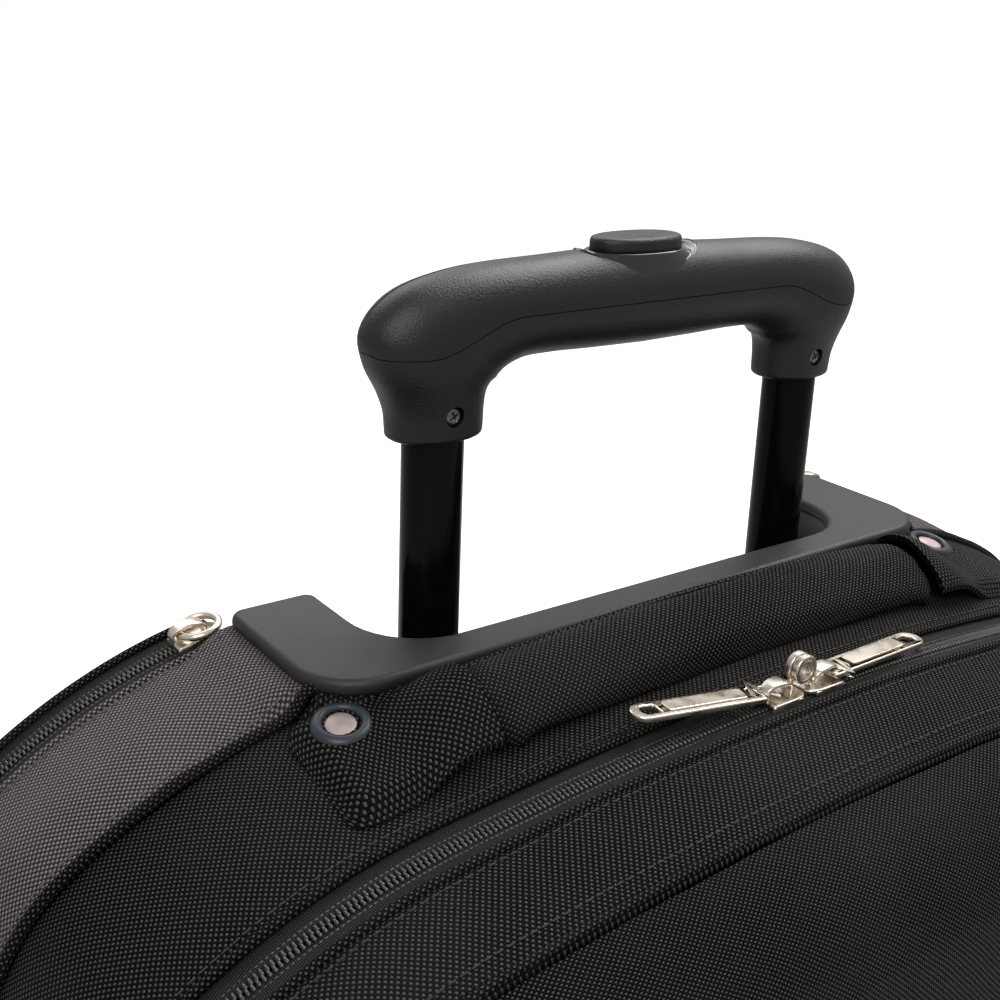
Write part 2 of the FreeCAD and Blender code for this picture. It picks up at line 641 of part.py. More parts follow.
pair("inner_plugs", cut("inner_plug",
                        upright("inner_plug_solid", "mid_radius - tube_wall - running", "3.5",
                                "inner_foot - plug_height", "inner_foot"), pin_bore))


def lock_pin(label):
    """A sprung pin that stops the handle; its nose rests against the tube's wall."""
    return cylinder(label, "pin_radius", "pin_length",
                    ("tube_gap / 2 - mid_radius + tube_wall + running + 0.3", "tube_line",
                     "inner_foot - plug_height / 2"), "x")


both("lock_pin", lock_pin)

foot_block = box("foot_block",
                 ("-tube_gap / 2 - 24", "tube_line - 16 + fit_gap", "base_line + wall + fit_gap"),
                 ("tube_gap / 2 + 24", "tube_line + 16", "outer_foot + 20"))
foot_socket = cylinder("foot_socket", "outer_radius", "60", (*RIGHT, "outer_foot"))
node(cut("tube_foot_cut", foot_block, foot_socket, mirrored("foot_socket_left", foot_socket)), "tube_foot")

# ---------------------------------------------------------------- grip
SIDE = (1, 0, 0)
FRONT = (0, 1, 0)
UP = (0, 0, 1)


def grip_ring(x, middle, half_height):
    return ((str(x), "tube_line", f"grip_foot + {middle}"), UP, FRONT, (str(half_height), "grip_depth"))


def socket_ring(height, shift, half_x, half_y):
    return ((f"tube_gap / 2 + {shift}", "tube_line", f"grip_foot + {height}"), SIDE, FRONT,
            (str(half_x), str(half_y)))


# The bar droops from its middle to its ends: (sideways, height of the middle, half height).
BAR = [(0, 35.8, 15.7), (40, 36.2, 15.3), (66, 34.3, 15.7), (size("grip_reach"), size("grip_middle"), 17.5)]
bar_rings = [grip_ring(-x, middle, half) for x, middle, half in reversed(BAR[1:])]
bar_rings += [grip_ring(x, middle, half) for x, middle, half in BAR]
grip_bar = loft("grip_bar_solid", bar_rings)
grip_end = new("Part::Ellipsoid", "grip_end")
bind(grip_end, Radius1="grip_end_height - 0.8", Radius2="grip_end_height", Radius3="grip_depth - 0.3")
place(grip_end, ("grip_reach", "tube_line", "grip_foot + grip_middle"))
socket = loft("grip_socket", [socket_ring(0, 0, 15.8, 11.3), socket_ring(12, 0.5, 16.5, 12),
                              socket_ring(26, 3, 20.5, 13.6)])
grip_solid = join("grip_solid", grip_bar, grip_end, socket, mirrored("grip_end_left", grip_end),
                  mirrored("grip_socket_left", socket))


def oval(label, long, wide, low, high, taper=0.0):
    """An upright prism with round ends, centred on the grip."""
    body, feature = slab(label, (f"-({long}) / 2", f"-({wide}) / 2"), (f"({long}) / 2", f"({wide}) / 2"),
                         f"({wide}) / 2 - 0.01", "0", f"({high}) - ({low})", taper=taper)
    return place(body, ("0", "tube_line", f"grip_foot + ({low})"))


tube_bore = cylinder("grip_tube_bore", "inner_radius", "socket_depth + 9", (*RIGHT, "grip_foot - 5"))
cavity = box("grip_cavity", ("-cavity_half", "tube_line - cavity_deep", "grip_foot + cavity_floor"),
             ("cavity_half", "tube_line + cavity_deep", "grip_foot + cavity_roof"))
screw_at = ("tube_gap / 2", "tube_line - 14", "grip_foot + screw_rise")
screw_hole = cylinder("grip_screw_hole", "3", "4.4", screw_at, "y")
button_well = oval("button_well", "button_long + 8", "button_wide + 6", "39", "60")
seam_sag = join("seam_sag",
                box("seam_middle", ("-58", "tube_line - 30", "grip_foot - 5"),
                    ("58", "tube_line + 30", "grip_foot + 36")),
                box("seam_ends", ("-120", "tube_line - 30", "grip_foot - 5"),
                    ("120", "tube_line + 30", "grip_foot + 27")))
grip_tools = [tube_bore, mirrored("grip_tube_bore_left", tube_bore), cavity, screw_hole,
              mirrored("grip_screw_hole_left", screw_hole)]
node(cut("grip_lower_cut", common("grip_lower_form", grip_solid, seam_sag), *grip_tools), "grip_lower_shell")
seam_sky = box("seam_sky", ("-120", "tube_line - 30", "grip_foot + 20"),
               ("120", "tube_line + 30", "grip_foot + 70"))
above_seam = cut("above_seam", seam_sky, seam_sag, button_well, cavity)
node(common("grip_upper_common", grip_solid, above_seam), "grip_upper_shell")

screw_head = cylinder("grip_screw_head", "screw_radius", "1.6",
                      ("tube_gap / 2", "tube_line - 11.4", "grip_foot + screw_rise"), "y")
pair("grip_screws", screw_head)

bezel_form = oval("bezel_form", "button_long + 7.8", "button_wide + 5.8", "button_base", "50.5", taper=-12.0)
node(cut("bezel_cut", bezel_form, oval("bezel_eye", "button_long + 1", "button_wide + 1", "38", "61")),
     "button_bezel")

node(oval("button_oval", "button_long", "button_wide", "button_base", "button_top"), "button_cap")
yoke_bar = box("yoke_bar", ("-yoke_half", "tube_line - 5", "grip_foot + yoke_base"),
               ("yoke_half", "tube_line + 5", "grip_foot + yoke_base + 4"))
yoke_post = box("yoke_post", ("-7", "tube_line - 5", "grip_foot + yoke_base + 4"),
                ("7", "tube_line + 5", "grip_foot + button_base"))
push_rod = cylinder("push_rod", "rod_radius", "grip_foot + yoke_base - inner_foot - 6",
                    (*RIGHT, "inner_foot + 6"))
node(join("push_yoke_solid", yoke_bar, yoke_post, push_rod, mirrored("push_rod_left", push_rod)), "push_yoke")


def coil_spring(label, radius, wire, pitch, turns):
    """A compression spring swept along a helix."""
    path = Part.makeHelix(pitch, pitch * turns, radius)
    section = Part.Wire(Part.makeCircle(wire, Vector(radius, 0, 0), Vector(0, 1, 0)))
    spring = new("Part::Feature", label)
    spring.Shape = Part.Wire(path).makePipeShell([section], True, True)
    return spring


spring = coil_spring("button_spring", size("spring_radius"), size("spring_wire"), size("spring_pitch"),
                     size("spring_turns"))
spring_foot = size("grip_foot") + size("cavity_floor") + size("spring_wire") + 0.1
spring.Placement = Placement(Vector(0, size("tube_line"), spring_foot), Rotation())
node(spring, "button_spring")

# ---------------------------------------------------------------- inside the case
node(box("divider_board", ("-half_width + wall + 4", "board_line", "base_line + wall + 2"),
         ("half_width - wall - 4", "board_line + board_thick", "cap_bottom - 46")), "divider_board")
sleeve_outer = box("sleeve_outer", ("-laptop_half - padding", "board_line - laptop_depth - 2 * padding",
                                    "sleeve_base - padding"),
                   ("laptop_half + padding", "board_line - 0.1", "sleeve_top"))
sleeve_room = box("sleeve_room", ("-laptop_half", "board_line - laptop_depth - padding", "sleeve_base"),
                  ("laptop_half", "board_line - padding", "sleeve_top + 5"))
node(cut("laptop_sleeve_cut", sleeve_outer, sleeve_room), "laptop_sleeve")

# ---------------------------------------------------------------- carry handle
pad_body, pad_feature = slab("handle_pad", ("-pad_half", "pad_front"), ("pad_half", "pad_back"), "8",
                             "pad_base", "pad_base + pad_thick")
round_edges(pad_body, pad_feature, "4", level(size("pad_base") + size("pad_thick")))
node(pad_body, "carry_handle")


RIVET_AT = ("rivet_reach", "rivet_line")


def strap(label):
    """A flat tab from the handle's end down to its rivet."""
    body = new_body(label + "_tab")
    sketch = new_sketch(body, label + "_sketch", "XY_Plane", "0")
    rounded_box(sketch, ("pad_half + 1.5", "rivet_line - 32"), ("rivet_reach + 12", "rivet_line + 9.4"), "8")
    pad(body, sketch, "2.4")
    body.Placement = Placement(Vector(0, 0, size("strap_rise")), Rotation(FRONT_AXIS, size("strap_lean")))
    seat = cylinder(label + "_seat", "rivet_radius + 0.1", "9", (*RIVET_AT, "rivet_rise - 0.05"))
    return cut(label, body, seat)


both("handle_strap", strap)

ring = cut("rivet_ring_solid",
           cone("rivet_dome", "rivet_radius", "rivet_radius - 1.6", "2.4", (*RIVET_AT, "rivet_rise")),
           cylinder("rivet_eye", "5.2", "9", (*RIVET_AT, "rivet_rise - 3")))
pair("rivet_rings", ring)
pair("rivet_caps", cylinder("rivet_cap", "5", "1.6", (*RIVET_AT, "rivet_rise")))


# ---------------------------------------------------------------- sliders and pulls
def slider(label, eye):
    """Two plates joined by a thin web that runs in the slit, and a bridge for the pull."""
    top = box(label + "_top", ("-slider_half", "-slider_wide", "1"), ("slider_half", "slider_wide", "2.4"))
    under = box(label + "_under", ("-slider_half", "-slider_wide", "-4.4"),
                ("slider_half", "slider_wide", "-3.4"))
    web = box(label + "_web", ("-3", "-0.5", "-3.6"), ("3", "0.5", "1.2"))
    arch = box(label + "_arch", ("-2", "-bridge_half", "2.2"), ("slider_half", "bridge_half", "bridge_top"))
    tunnel = cylinder(label + "_tunnel", "tunnel_radius", "9",
                      ("slider_half - tunnel_back", "-4.5", "tunnel_rise"), "y")
    parts = [top, under, web, cut(label + "_bridge", arch, tunnel)]
    if eye:
        depth = "-eye_thick - 0.3" if eye == "front" else "0.3"
        stalk = box(label + "_stalk", ("-slider_half", depth, "2.2"),
                    ("-slider_half + 3", f"{depth} + eye_thick", "6"))
        ring = cylinder(label + "_eye", "eye_radius", "eye_thick",
                        ("-slider_half - 0.5", depth, "eye_rise"), "y")
        hole = cylinder(label + "_eye_hole", "eye_hole", "eye_thick + 2",
                        ("-slider_half - 0.5", f"{depth} - 1", "eye_rise"), "y")
        parts += [cut(label + "_lock_eye", join(label + "_lug", stalk, ring), hole)]
    return join(label, *parts)


def pull(label):
    """A flat tab: a crossbar under the bridge, two arms and a plate with a hole."""
    body, feature = slab(label + "_plate", ("-bar_radius", "-pull_wide / 2"), ("pull_long", "pull_wide / 2"),
                         "0.8", "-pull_thick / 2", "pull_thick / 2")
    room = box(label + "_room", ("bar_radius", "-2.4", "-3"), ("7", "2.4", "3"))
    hole = box(label + "_hole", ("pull_long - 9", "-2.6", "-3"), ("pull_long - 3", "2.6", "3"))
    form = join(label + "_form",
                box(label + "_long", ("-2", "-9", "-3"), ("pull_long - pull_wide / 2", "9", "3")),
                cylinder(label + "_round", "pull_wide / 2", "6", ("pull_long - pull_wide / 2", "0", "-3")))
    nose = common(label + "_nose", cut(label + "_cut", body, room, hole), form)
    bar = cylinder(label + "_bar", "bar_radius", "pull_wide", ("0", "-pull_wide / 2", "0"), "y")
    return join(label, nose, bar)


def ring_pull(label):
    """A round ring that lies back over its slider."""
    ring = new("Part::Torus", label)
    bind(ring, Radius1="ring_radius", Radius2="ring_wire")
    ring.Placement = Placement(Vector(-size("ring_radius"), 0, 0), Rotation())
    return ring


def stand(thing, label, where, rotation):
    """Set a finished piece down and keep it as a node."""
    thing.Placement = Placement(where, rotation).multiply(thing.Placement)
    return node(thing, label)


def other_side(source, label, middle=0.0):
    copy = mirrored(label, source)
    copy.Base = Vector(middle, 0, 0)
    return node(copy, label)


MEET = size("meet_line")
ZIP_SURFACE = Vector(MEET + size("slider_half") + 0.5, size("zip_line"), size("top_zip") - size("tape_sink"))
FLAT = Rotation()
PIVOT = Vector(size("slider_half") - size("tunnel_back"), 0, size("tunnel_rise"))
stand(slider("main_slider", "front"), "main_slider_right", ZIP_SURFACE, FLAT)
left_slider = mirrored("main_slider_left", slider("main_slider_back", "back"))
left_slider.Placement = Placement(Vector(2 * MEET - ZIP_SURFACE.x, ZIP_SURFACE.y, ZIP_SURFACE.z), FLAT)
node(left_slider, "main_slider_left")
main_pull = stand(pull("main_pull"), "main_pull_right", ZIP_SURFACE + PIVOT, FLAT)
other_side(main_pull, "main_pull_left", MEET)

crown_lean = math.asin(size("crown_reach") / size("crown_radius"))
arm = size("crown_radius") - size("shoulder_radius")
SHOULDER = Vector(arm * math.sin(crown_lean), size("rear_zip_line"),
                  size("top_rear") - size("crown_radius") + arm * math.cos(crown_lean))
shoulder_radius = size("shoulder_radius") - size("tape_sink")
park_angle = math.asin((size("side_park") - SHOULDER.x) / shoulder_radius)
LEAN = Rotation(FRONT_AXIS, math.degrees(park_angle))
PARK = SHOULDER + LEAN.multVec(Vector(0, 0, shoulder_radius))
rear_slider = stand(slider("rear_slider", None), "rear_slider_right", PARK, LEAN)
other_side(rear_slider, "rear_slider_left")
rear_ring = stand(ring_pull("rear_ring"), "rear_pull_right", PARK + LEAN.multVec(PIVOT), LEAN)
other_side(rear_ring, "rear_pull_left")

UPRIGHT = Rotation(Vector(1, 0, 0), 90.0)
POCKET = Vector(size("pocket_park"), size("front_face") - size("tape_thick"), size("pocket_line"))
stand(slider("pocket_slider_solid", None), "pocket_slider", POCKET, UPRIGHT)
stand(pull("pocket_pull_solid"), "pocket_pull", POCKET + UPRIGHT.multVec(PIVOT), UPRIGHT)

# ---------------------------------------------------------------- check and write
doc.recompute()
faults = [thing.Name for thing in doc.Objects if {"Invalid", "Error"} & set(thing.State)]
for thing in NODES:
    if thing.Shape.isNull() or not thing.Shape.isValid() or thing.Shape.Volume <= 0:
        faults.append(thing.Label)
if faults:
    raise RuntimeError("failed to build: " + ", ".join(faults))
for thing in NODES:
    thing.Shape.exportStep(f"parts/{thing.Label}.step")
    print(f"{thing.Label:22s} solids {len(thing.Shape.Solids)} volume {thing.Shape.Volume:10.0f}")
print(len(NODES), "nodes")
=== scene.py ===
"""Looks of the rolling laptop case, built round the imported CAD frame.

Lengths in this script are millimetres in the frame's axes; MM turns them into
Blender's metres when a mesh is made.
"""
import json
import math

import bmesh
import bpy
from mathutils import Matrix, Vector, noise


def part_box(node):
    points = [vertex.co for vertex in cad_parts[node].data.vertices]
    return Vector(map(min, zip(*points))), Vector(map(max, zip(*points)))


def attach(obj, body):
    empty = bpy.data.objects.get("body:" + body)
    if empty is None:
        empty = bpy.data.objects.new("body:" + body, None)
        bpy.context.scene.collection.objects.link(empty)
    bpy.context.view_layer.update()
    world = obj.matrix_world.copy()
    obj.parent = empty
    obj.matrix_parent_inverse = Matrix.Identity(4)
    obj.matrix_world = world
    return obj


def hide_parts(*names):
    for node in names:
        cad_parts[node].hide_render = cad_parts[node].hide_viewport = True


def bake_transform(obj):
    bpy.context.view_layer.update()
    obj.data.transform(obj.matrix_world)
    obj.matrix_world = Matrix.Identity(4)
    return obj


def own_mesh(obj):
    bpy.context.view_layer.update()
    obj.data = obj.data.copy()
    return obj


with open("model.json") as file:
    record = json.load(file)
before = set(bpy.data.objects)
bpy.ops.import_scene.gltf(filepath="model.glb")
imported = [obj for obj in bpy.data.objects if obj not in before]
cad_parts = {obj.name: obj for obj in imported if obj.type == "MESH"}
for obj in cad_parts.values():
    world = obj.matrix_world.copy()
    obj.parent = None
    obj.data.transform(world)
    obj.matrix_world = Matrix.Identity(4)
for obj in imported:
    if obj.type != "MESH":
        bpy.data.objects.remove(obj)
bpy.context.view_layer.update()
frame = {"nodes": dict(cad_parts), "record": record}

MM = 0.001


# ------------------------------------------------------------------ sizes read from the frame
def low(node):
    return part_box(node)[0] / MM


def high(node):
    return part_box(node)[1] / MM


def joint(name):
    return [item for item in frame["record"]["behaviour"]["joints"] if item["name"] == name][0]


# The main zip runs on the crown's arc and the rear sliders on the shoulder's arc, each about its joint.
CROWN_HUB = joint("main_zip_right_travel")["pos_m"]
SHOULDER_HUB = joint("side_zip_right_travel")["pos_m"]
CROWN_HALF = 125.0
ZIP_Y = CROWN_HUB[1] / MM
REAR_ZIP_Y = SHOULDER_HUB[1] / MM
CROWN_R = high("main_zip_case").z + 1.0 - CROWN_HUB[2] / MM
SHOULDER_X = SHOULDER_HUB[0] / MM
SHOULDER_Z = SHOULDER_HUB[2] / MM
CROWN_LEAN = math.asin(CROWN_HALF / CROWN_R)
SHOULDER_R = CROWN_R - SHOULDER_X / math.sin(CROWN_LEAN)
HALF = high("main_gusset").x
BASE = low("main_gusset").z
LID_BASE = low("front_gusset").z
BACK_BASE = joint("back_lid_open")["pos_m"][2] / MM
CORNER_R = 50.0
LOW_R = 8.0
FRONT_Y = low("front_panel").y
BACK_Y = high("back_panel").y
SEAM_Y = low("rear_gusset").y
LID_SEAM_Y = low("front_gusset").y
TAPE = high("rear_zip_case").y - low("rear_zip_case").y + 0.9
CLOTH = 2.4
FOLD = 1.6

TUBE_R = (high("inner_tubes").y - low("inner_tubes").y) / 2
TUBE_X = (high("inner_tubes").x + low("inner_tubes").x) / 2 + high("inner_tubes").x - 9.5
TUBE_Y = (low("inner_tubes").y + high("inner_tubes").y) / 2
GRIP_Z = low("grip_lower_shell").z
CAP_TOP = high("top_cap").z
CAP_FOOT = low("top_cap").z
CAP_X = high("top_cap").x
CAP_FRONT = low("top_cap").y
CAP_BACK = BACK_Y - 19.0
CAP_LIP = 5.4
CAP_ZONE = 340.0
RECESS_X = 102.0
RECESS_Y = 34.0
RECESS_R = 24
RECESS_FLOOR = CAP_TOP - 18.0
RAMP_Y = 63.0
RAMP_LEAN = 32.0
LEDGE_DROP = 24.4
RIVET_X = high("rivet_caps").x - 5.0
RIVET_Y = (low("rivet_caps").y + high("rivet_caps").y) / 2

# (depth, height of the shell's crown), from the front panel to the back panel
TOP_AT = [(FRONT_Y, 362.0), (LID_SEAM_Y, 373.0), (ZIP_Y - TAPE, 381.0), (ZIP_Y + TAPE, 381.0),
          (SEAM_Y, 391.5), (REAR_ZIP_Y - TAPE, 394.0), (BACK_Y + 9, 394.0)]


def top_at(y):
    """Height of the shell's crown at one depth."""
    for (y0, z0), (y1, z1) in zip(TOP_AT, TOP_AT[1:]):
        if y <= y1:
            share = (y - y0) / (y1 - y0)
            return z0 + (z1 - z0) * max(share, 0.0)
    return TOP_AT[-1][1]


# ------------------------------------------------------------------ mesh helpers
def finish_mesh(name, mesh, materials):
    """Turn a mesh in millimetres into an object."""
    mesh.transform(Matrix.Scale(MM, 4))
    for polygon in mesh.polygons:
        polygon.use_smooth = True
    thing = bpy.data.objects.new(name, mesh)
    bpy.context.scene.collection.objects.link(thing)
    for material in materials if isinstance(materials, (list, tuple)) else [materials]:
        mesh.materials.append(material)
    return thing


def mesh_of(name, bm):
    """Close a mesh in progress."""
    mesh = bpy.data.meshes.new(name)
    bm.to_mesh(mesh)
    bm.free()
    return mesh


def from_bmesh(name, bm, materials):
    bmesh.ops.recalc_face_normals(bm, faces=bm.faces)
    return finish_mesh(name, mesh_of(name, bm), materials)


def from_grid(name, rows, materials, around=False, across=False, uvs=None, keep=None):
    """A surface through a grid of points; around closes each row, across closes the columns."""
    bm = bmesh.new()
    grid = [[bm.verts.new(point) for point in row] for row in rows]
    layer = bm.loops.layers.uv.new("cloth")
    height, width = len(rows), len(rows[0])
    for j in range(height if across else height - 1):
        for i in range(width if around else width - 1):
            if keep is not None and not keep(rows[j][i]):
                continue
            corners = [(j, i), (j, i + 1), (j + 1, i + 1), (j + 1, i)]
            face = bm.faces.new([grid[a % height][b % width] for a, b in corners])
            for loop, (a, b) in zip(face.loops, corners):
                loop[layer].uv = uvs(a, b) if uvs else (b, a)
    loose = [vert for vert in bm.verts if not vert.link_faces]
    bmesh.ops.delete(bm, geom=loose, context="VERTS")
    return finish_mesh(name, mesh_of(name, bm), materials)


def place(thing, body, slot, *nodes):
    """Let a finished piece ride on a body and stand for its CAD nodes; slot is not used."""
    if body:
        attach(thing, body)
    if nodes:
        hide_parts(*nodes)
    return thing


def close_ends(thing):
    """Fill the open ends of a tube of faces and turn its normals out."""
    bm = bmesh.new()
    bm.from_mesh(thing.data)
    bmesh.ops.holes_fill(bm, edges=[edge for edge in bm.edges if edge.is_boundary])
    bmesh.ops.recalc_face_normals(bm, faces=bm.faces)
    bm.to_mesh(thing.data)
    bm.free()
    return thing


def modifier(thing, kind, **settings):
    added = thing.modifiers.new(kind.lower(), kind)
    for key, value in settings.items():
        setattr(added, key, value)
    return added


def thicken(thing, thickness, inner=0):
    """Give a surface a thickness on its inner side, with its own material there."""
    modifier(thing, "SOLIDIFY", thickness=thickness * MM, offset=-1.0, material_offset=inner)


def soften(thing, width, segments=3, angle=40.0):
    """Round a piece's edges and keep its flats flat."""
    modifier(thing, "BEVEL", width=width * MM, segments=segments, limit_method="ANGLE",
             angle_limit=math.radians(angle), harden_normals=False)
    modifier(thing, "WEIGHTED_NORMAL", keep_sharp=False, weight=70)
    return thing


def apply_all(thing):
    """Bake a thing's modifiers into its mesh."""
    graph = bpy.context.evaluated_depsgraph_get()
    mesh = bpy.data.meshes.new_from_object(thing.evaluated_get(graph))
    thing.modifiers.clear()
    thing.data = mesh
    return thing


def boolean(thing, tool):
    """Cut a tool away from a piece and drop the tool."""
    modifier(thing, "BOOLEAN", object=tool, operation="DIFFERENCE", solver="EXACT")
    apply_all(thing)
    bpy.data.objects.remove(tool)
    return thing


def angles(count):
    return [2 * math.pi * k / count for k in range(count)]


def sweep(path, section, closed=False, up=None):
    """Rows of points: a section of (side, lift) pairs carried along a path; up(i) is the lift's direction."""
    rows = []
    count = len(path)
    for i, point in enumerate(path):
        before = path[(i - 1) % count] if closed or i else path[0]
        after = path[(i + 1) % count] if closed or i < count - 1 else path[-1]
        forward = (Vector(after) - Vector(before)).normalized()
        side = forward.cross(up(i) if up else Vector((0, 0, 1))).normalized()
        rise = side.cross(forward).normalized()
        rows.append([Vector(point) + side * a + rise * b for a, b in section])
    return rows


def circle(radius, count=10, squash=1.0):
    return [(radius * math.cos(a), radius * squash * math.sin(a)) for a in angles(count)]


def cord(name, path, radius, material, count=10, squash=1.0):
    """A round cord along a path."""
    return from_grid(name, sweep(path, circle(radius, count, squash)), material, around=True)


def lathe(name, profile, centre, axis, material, count=64):
    """Turn (radius, along) pairs about an axis through centre."""
    axis = Vector(axis).normalized()
    side = axis.orthogonal().normalized()
    other = axis.cross(side)
    rows = [[Vector(centre) + axis * along + (side * math.cos(a) + other * math.sin(a)) * radius
             for a in angles(count)] for radius, along in profile]
    return from_grid(name, rows, material, around=True)


def rounded_path(corners, count=8):
    """A closed outline through (x, y, radius) corners."""
    points = []
    for k, (x, y, radius) in enumerate(corners):
        here = Vector((x, y))
        before = Vector(corners[k - 1][:2]) - here
        after = Vector(corners[(k + 1) % len(corners)][:2]) - here
        a, b = before.normalized(), after.normalized()
        half_angle = a.angle(b) / 2
        reach = radius / math.tan(half_angle)
        centre = here + (a + b).normalized() * radius / math.sin(half_angle)
        start, stop = here + a * reach - centre, here + b * reach - centre
        turn = start.angle_signed(stop)
        for step in range(count + 1):
            angle = -turn * step / count
            points.append(centre + Vector((start.x * math.cos(angle) - start.y * math.sin(angle),
                                           start.x * math.sin(angle) + start.y * math.cos(angle))))
    return points


def rounded_box(x0, x1, y0, y1, radius, count=4):
    return rounded_path([(x0, y0, radius), (x1, y0, radius), (x1, y1, radius), (x0, y1, radius)], count)


def square(x0, x1, y0, y1):
    return [Vector(p) for p in ((x0, y0), (x1, y0), (x1, y1), (x0, y1))]


def prism(name, path, bottom, top, material):
    """A flat-topped block over a plan outline."""
    bm = bmesh.new()
    lower = bm.faces.new([bm.verts.new((p.x, p.y, bottom)) for p in path])
    lifted = bmesh.ops.extrude_face_region(bm, geom=[lower])
    moved = [item for item in lifted["geom"] if isinstance(item, bmesh.types.BMVert)]
    bmesh.ops.translate(bm, verts=moved, vec=(0, 0, top - bottom))
    return from_bmesh(name, bm, material)


def wave(x, y, z, seed=0.0):
    """Smooth noise between about -1 and 1."""
    return noise.noise(Vector((x + seed, y - seed, z + 2 * seed)))


def smooth(edge0, edge1, value):
    share = min(max((value - edge0) / (edge1 - edge0), 0.0), 1.0)
    return share * share * (3 - 2 * share)


def soft_power(value, power):
    """A power that keeps its value's sign, to square off a circle."""
    return math.copysign(abs(value) ** power, value)


def spline(values, at):
    """Catmull-Rom through a list of numbers at a fractional index."""
    k = min(int(at), len(values) - 2)
    t = at - k
    a, b, c, d = (values[min(max(k + m, 0), len(values) - 1)] for m in (-1, 0, 1, 2))
    return 0.5 * (2 * b + (c - a) * t + (2 * a - 5 * b + 4 * c - d) * t * t
                  + (3 * b - a - 3 * c + d) * t ** 3)


# ------------------------------------------------------------------ materials
class Nodes:
    """A short way to wire shader nodes."""

    def __init__(self, name):
        self.material = bpy.data.materials.new(name)
        self.material.use_nodes = True
        self.tree = self.material.node_tree
        self.shader = self.tree.nodes["Principled BSDF"]

    def add(self, kind, **settings):
        node = self.tree.nodes.new("ShaderNode" + kind)
        for key, value in settings.items():
            setattr(node, key, value)
        return node

    def put(self, socket, value):
        """Set an input from a number, a colour or another node's output."""
        if isinstance(value, bpy.types.NodeSocket):
            self.tree.links.new(value, socket)
        else:
            socket.default_value = value

    def wired(self, node, *values):
        """Fill a node's first inputs and hand back its first output."""
        for socket, value in zip(node.inputs, values):
            self.put(socket, value)
        return node.outputs[0]

    def math(self, operation, *values):
        return self.wired(self.add("Math", operation=operation), *values)

    def times(self, *values):
        return self.math("MULTIPLY", *values)

    def remap(self, value, low0, high0, low1, high1):
        node = self.add("MapRange", interpolation_type="SMOOTHSTEP")
        return self.wired(node, value, low0, high0, low1, high1)

    def mix(self, share, first, second):
        node = self.add("Mix", data_type="RGBA")
        for index, value in ((0, share), (6, first), (7, second)):
            self.put(node.inputs[index], value)
        return node.outputs[2]

    def noise(self, scale, detail, where, roughness=0.5):
        node = self.add("TexNoise")
        for key, value in (("Scale", scale), ("Detail", detail), ("Roughness", roughness), ("Vector", where)):
            self.put(node.inputs[key], value)
        return node.outputs[0]

    def position(self):
        return self.add("TexCoord").outputs["Object"]

    def cloth_uv(self):
        """The cloth coordinates in millimetres, and their two parts."""
        uv = self.add("UVMap", uv_map="cloth").outputs[0]
        split = self.add("SeparateXYZ")
        self.put(split.inputs[0], uv)
        return uv, split.outputs[0], split.outputs[1]

    def bump(self, height, distance, strength=1.0):
        node = self.add("Bump")
        for key, value in (("Strength", strength), ("Distance", distance * MM), ("Height", height)):
            self.put(node.inputs[key], value)
        return node.outputs[0]

    def set(self, **inputs):
        for key, value in inputs.items():
            self.put(self.shader.inputs[key.replace("_", " ")], value)
        return self.material


def shade(colour, factor=1.0):
    return tuple(min(c * factor, 1.0) for c in colour) + (1.0,)


def woven(name, dark, light, pitch=1.8, sheen=0.0, depth=0.35, fleck=0.6, dot=(0.05, 0.6), shine=0.4):
    """Ballistic nylon: two thick yarns crossing; the raised floats carry a painted highlight and the gaps between the
    yarns painted shade.
    """
    n = Nodes(name)
    uv, along, across = n.cloth_uv()
    wander = n.noise(0.02, 2.0, uv)
    u = n.times(n.math("ADD", along, n.times(wander, 2.2)), 2 * math.pi / pitch)
    v = n.times(n.math("ADD", across, n.times(wander, 1.5)), 2 * math.pi / pitch)
    cross = n.times(n.math("SINE", u), n.math("SINE", v))
    warp_highlight = n.remap(cross, dot[0], dot[1], 0.0, 1.0)
    hump = n.math("POWER", n.math("ABSOLUTE", cross), 0.55)
    strand = n.noise(2.6, 3.0, uv, 0.7)
    patch = n.noise(0.012, 3.0, uv)
    # the raised floats take the pale tone: partly the cloth's own colour, partly a painted highlight on the floats
    tone = n.mix(warp_highlight, shade(dark), shade(light))
    # painted shade: the gaps between the yarn humps darken towards black
    tone = n.mix(n.remap(hump, 0.0, 0.55, 0.75, 0.0), tone, (0.002, 0.002, 0.002, 1.0))
    tone = n.mix(n.remap(strand, 0.3, 0.75, fleck, 0.0), tone, shade(dark))
    tone = n.mix(n.remap(patch, 0.3, 0.7, 0.0, 0.12), tone, shade(light))
    height = n.math("ADD", n.times(hump, n.remap(warp_highlight, 0.0, 1.0, 0.7, 1.0)), n.times(strand, 0.25))
    return n.set(Base_Color=tone, Roughness=n.remap(hump, 0.2, 0.9, 0.75, 0.42), Normal=n.bump(height, depth),
                 Sheen_Weight=sheen, Sheen_Roughness=0.4,
                 Specular_IOR_Level=n.remap(warp_highlight, 0.0, 1.0, 0.04, shine))


def moulded(name, colour, roughness, grain=0.05, scale=1400.0, wear=0.1, coat=0.0, shine=0.5):
    """Spark-grained plastic with faint handling marks."""
    n = Nodes(name)
    where = n.position()
    fine = n.noise(scale, 2.0, where, 0.6)
    broad = n.noise(18.0, 4.0, where)
    tone = n.mix(n.remap(broad, 0.35, 0.75, 0.0, wear), shade(colour), shade(colour, 1.9))
    rough = n.math("ADD", n.remap(broad, 0.3, 0.7, roughness - 0.05, roughness + 0.06), n.times(fine, 0.08))
    return n.set(Base_Color=tone, Roughness=rough, Normal=n.bump(fine, grain), Coat_Weight=coat,
                 Coat_Roughness=0.08, Specular_IOR_Level=shine)


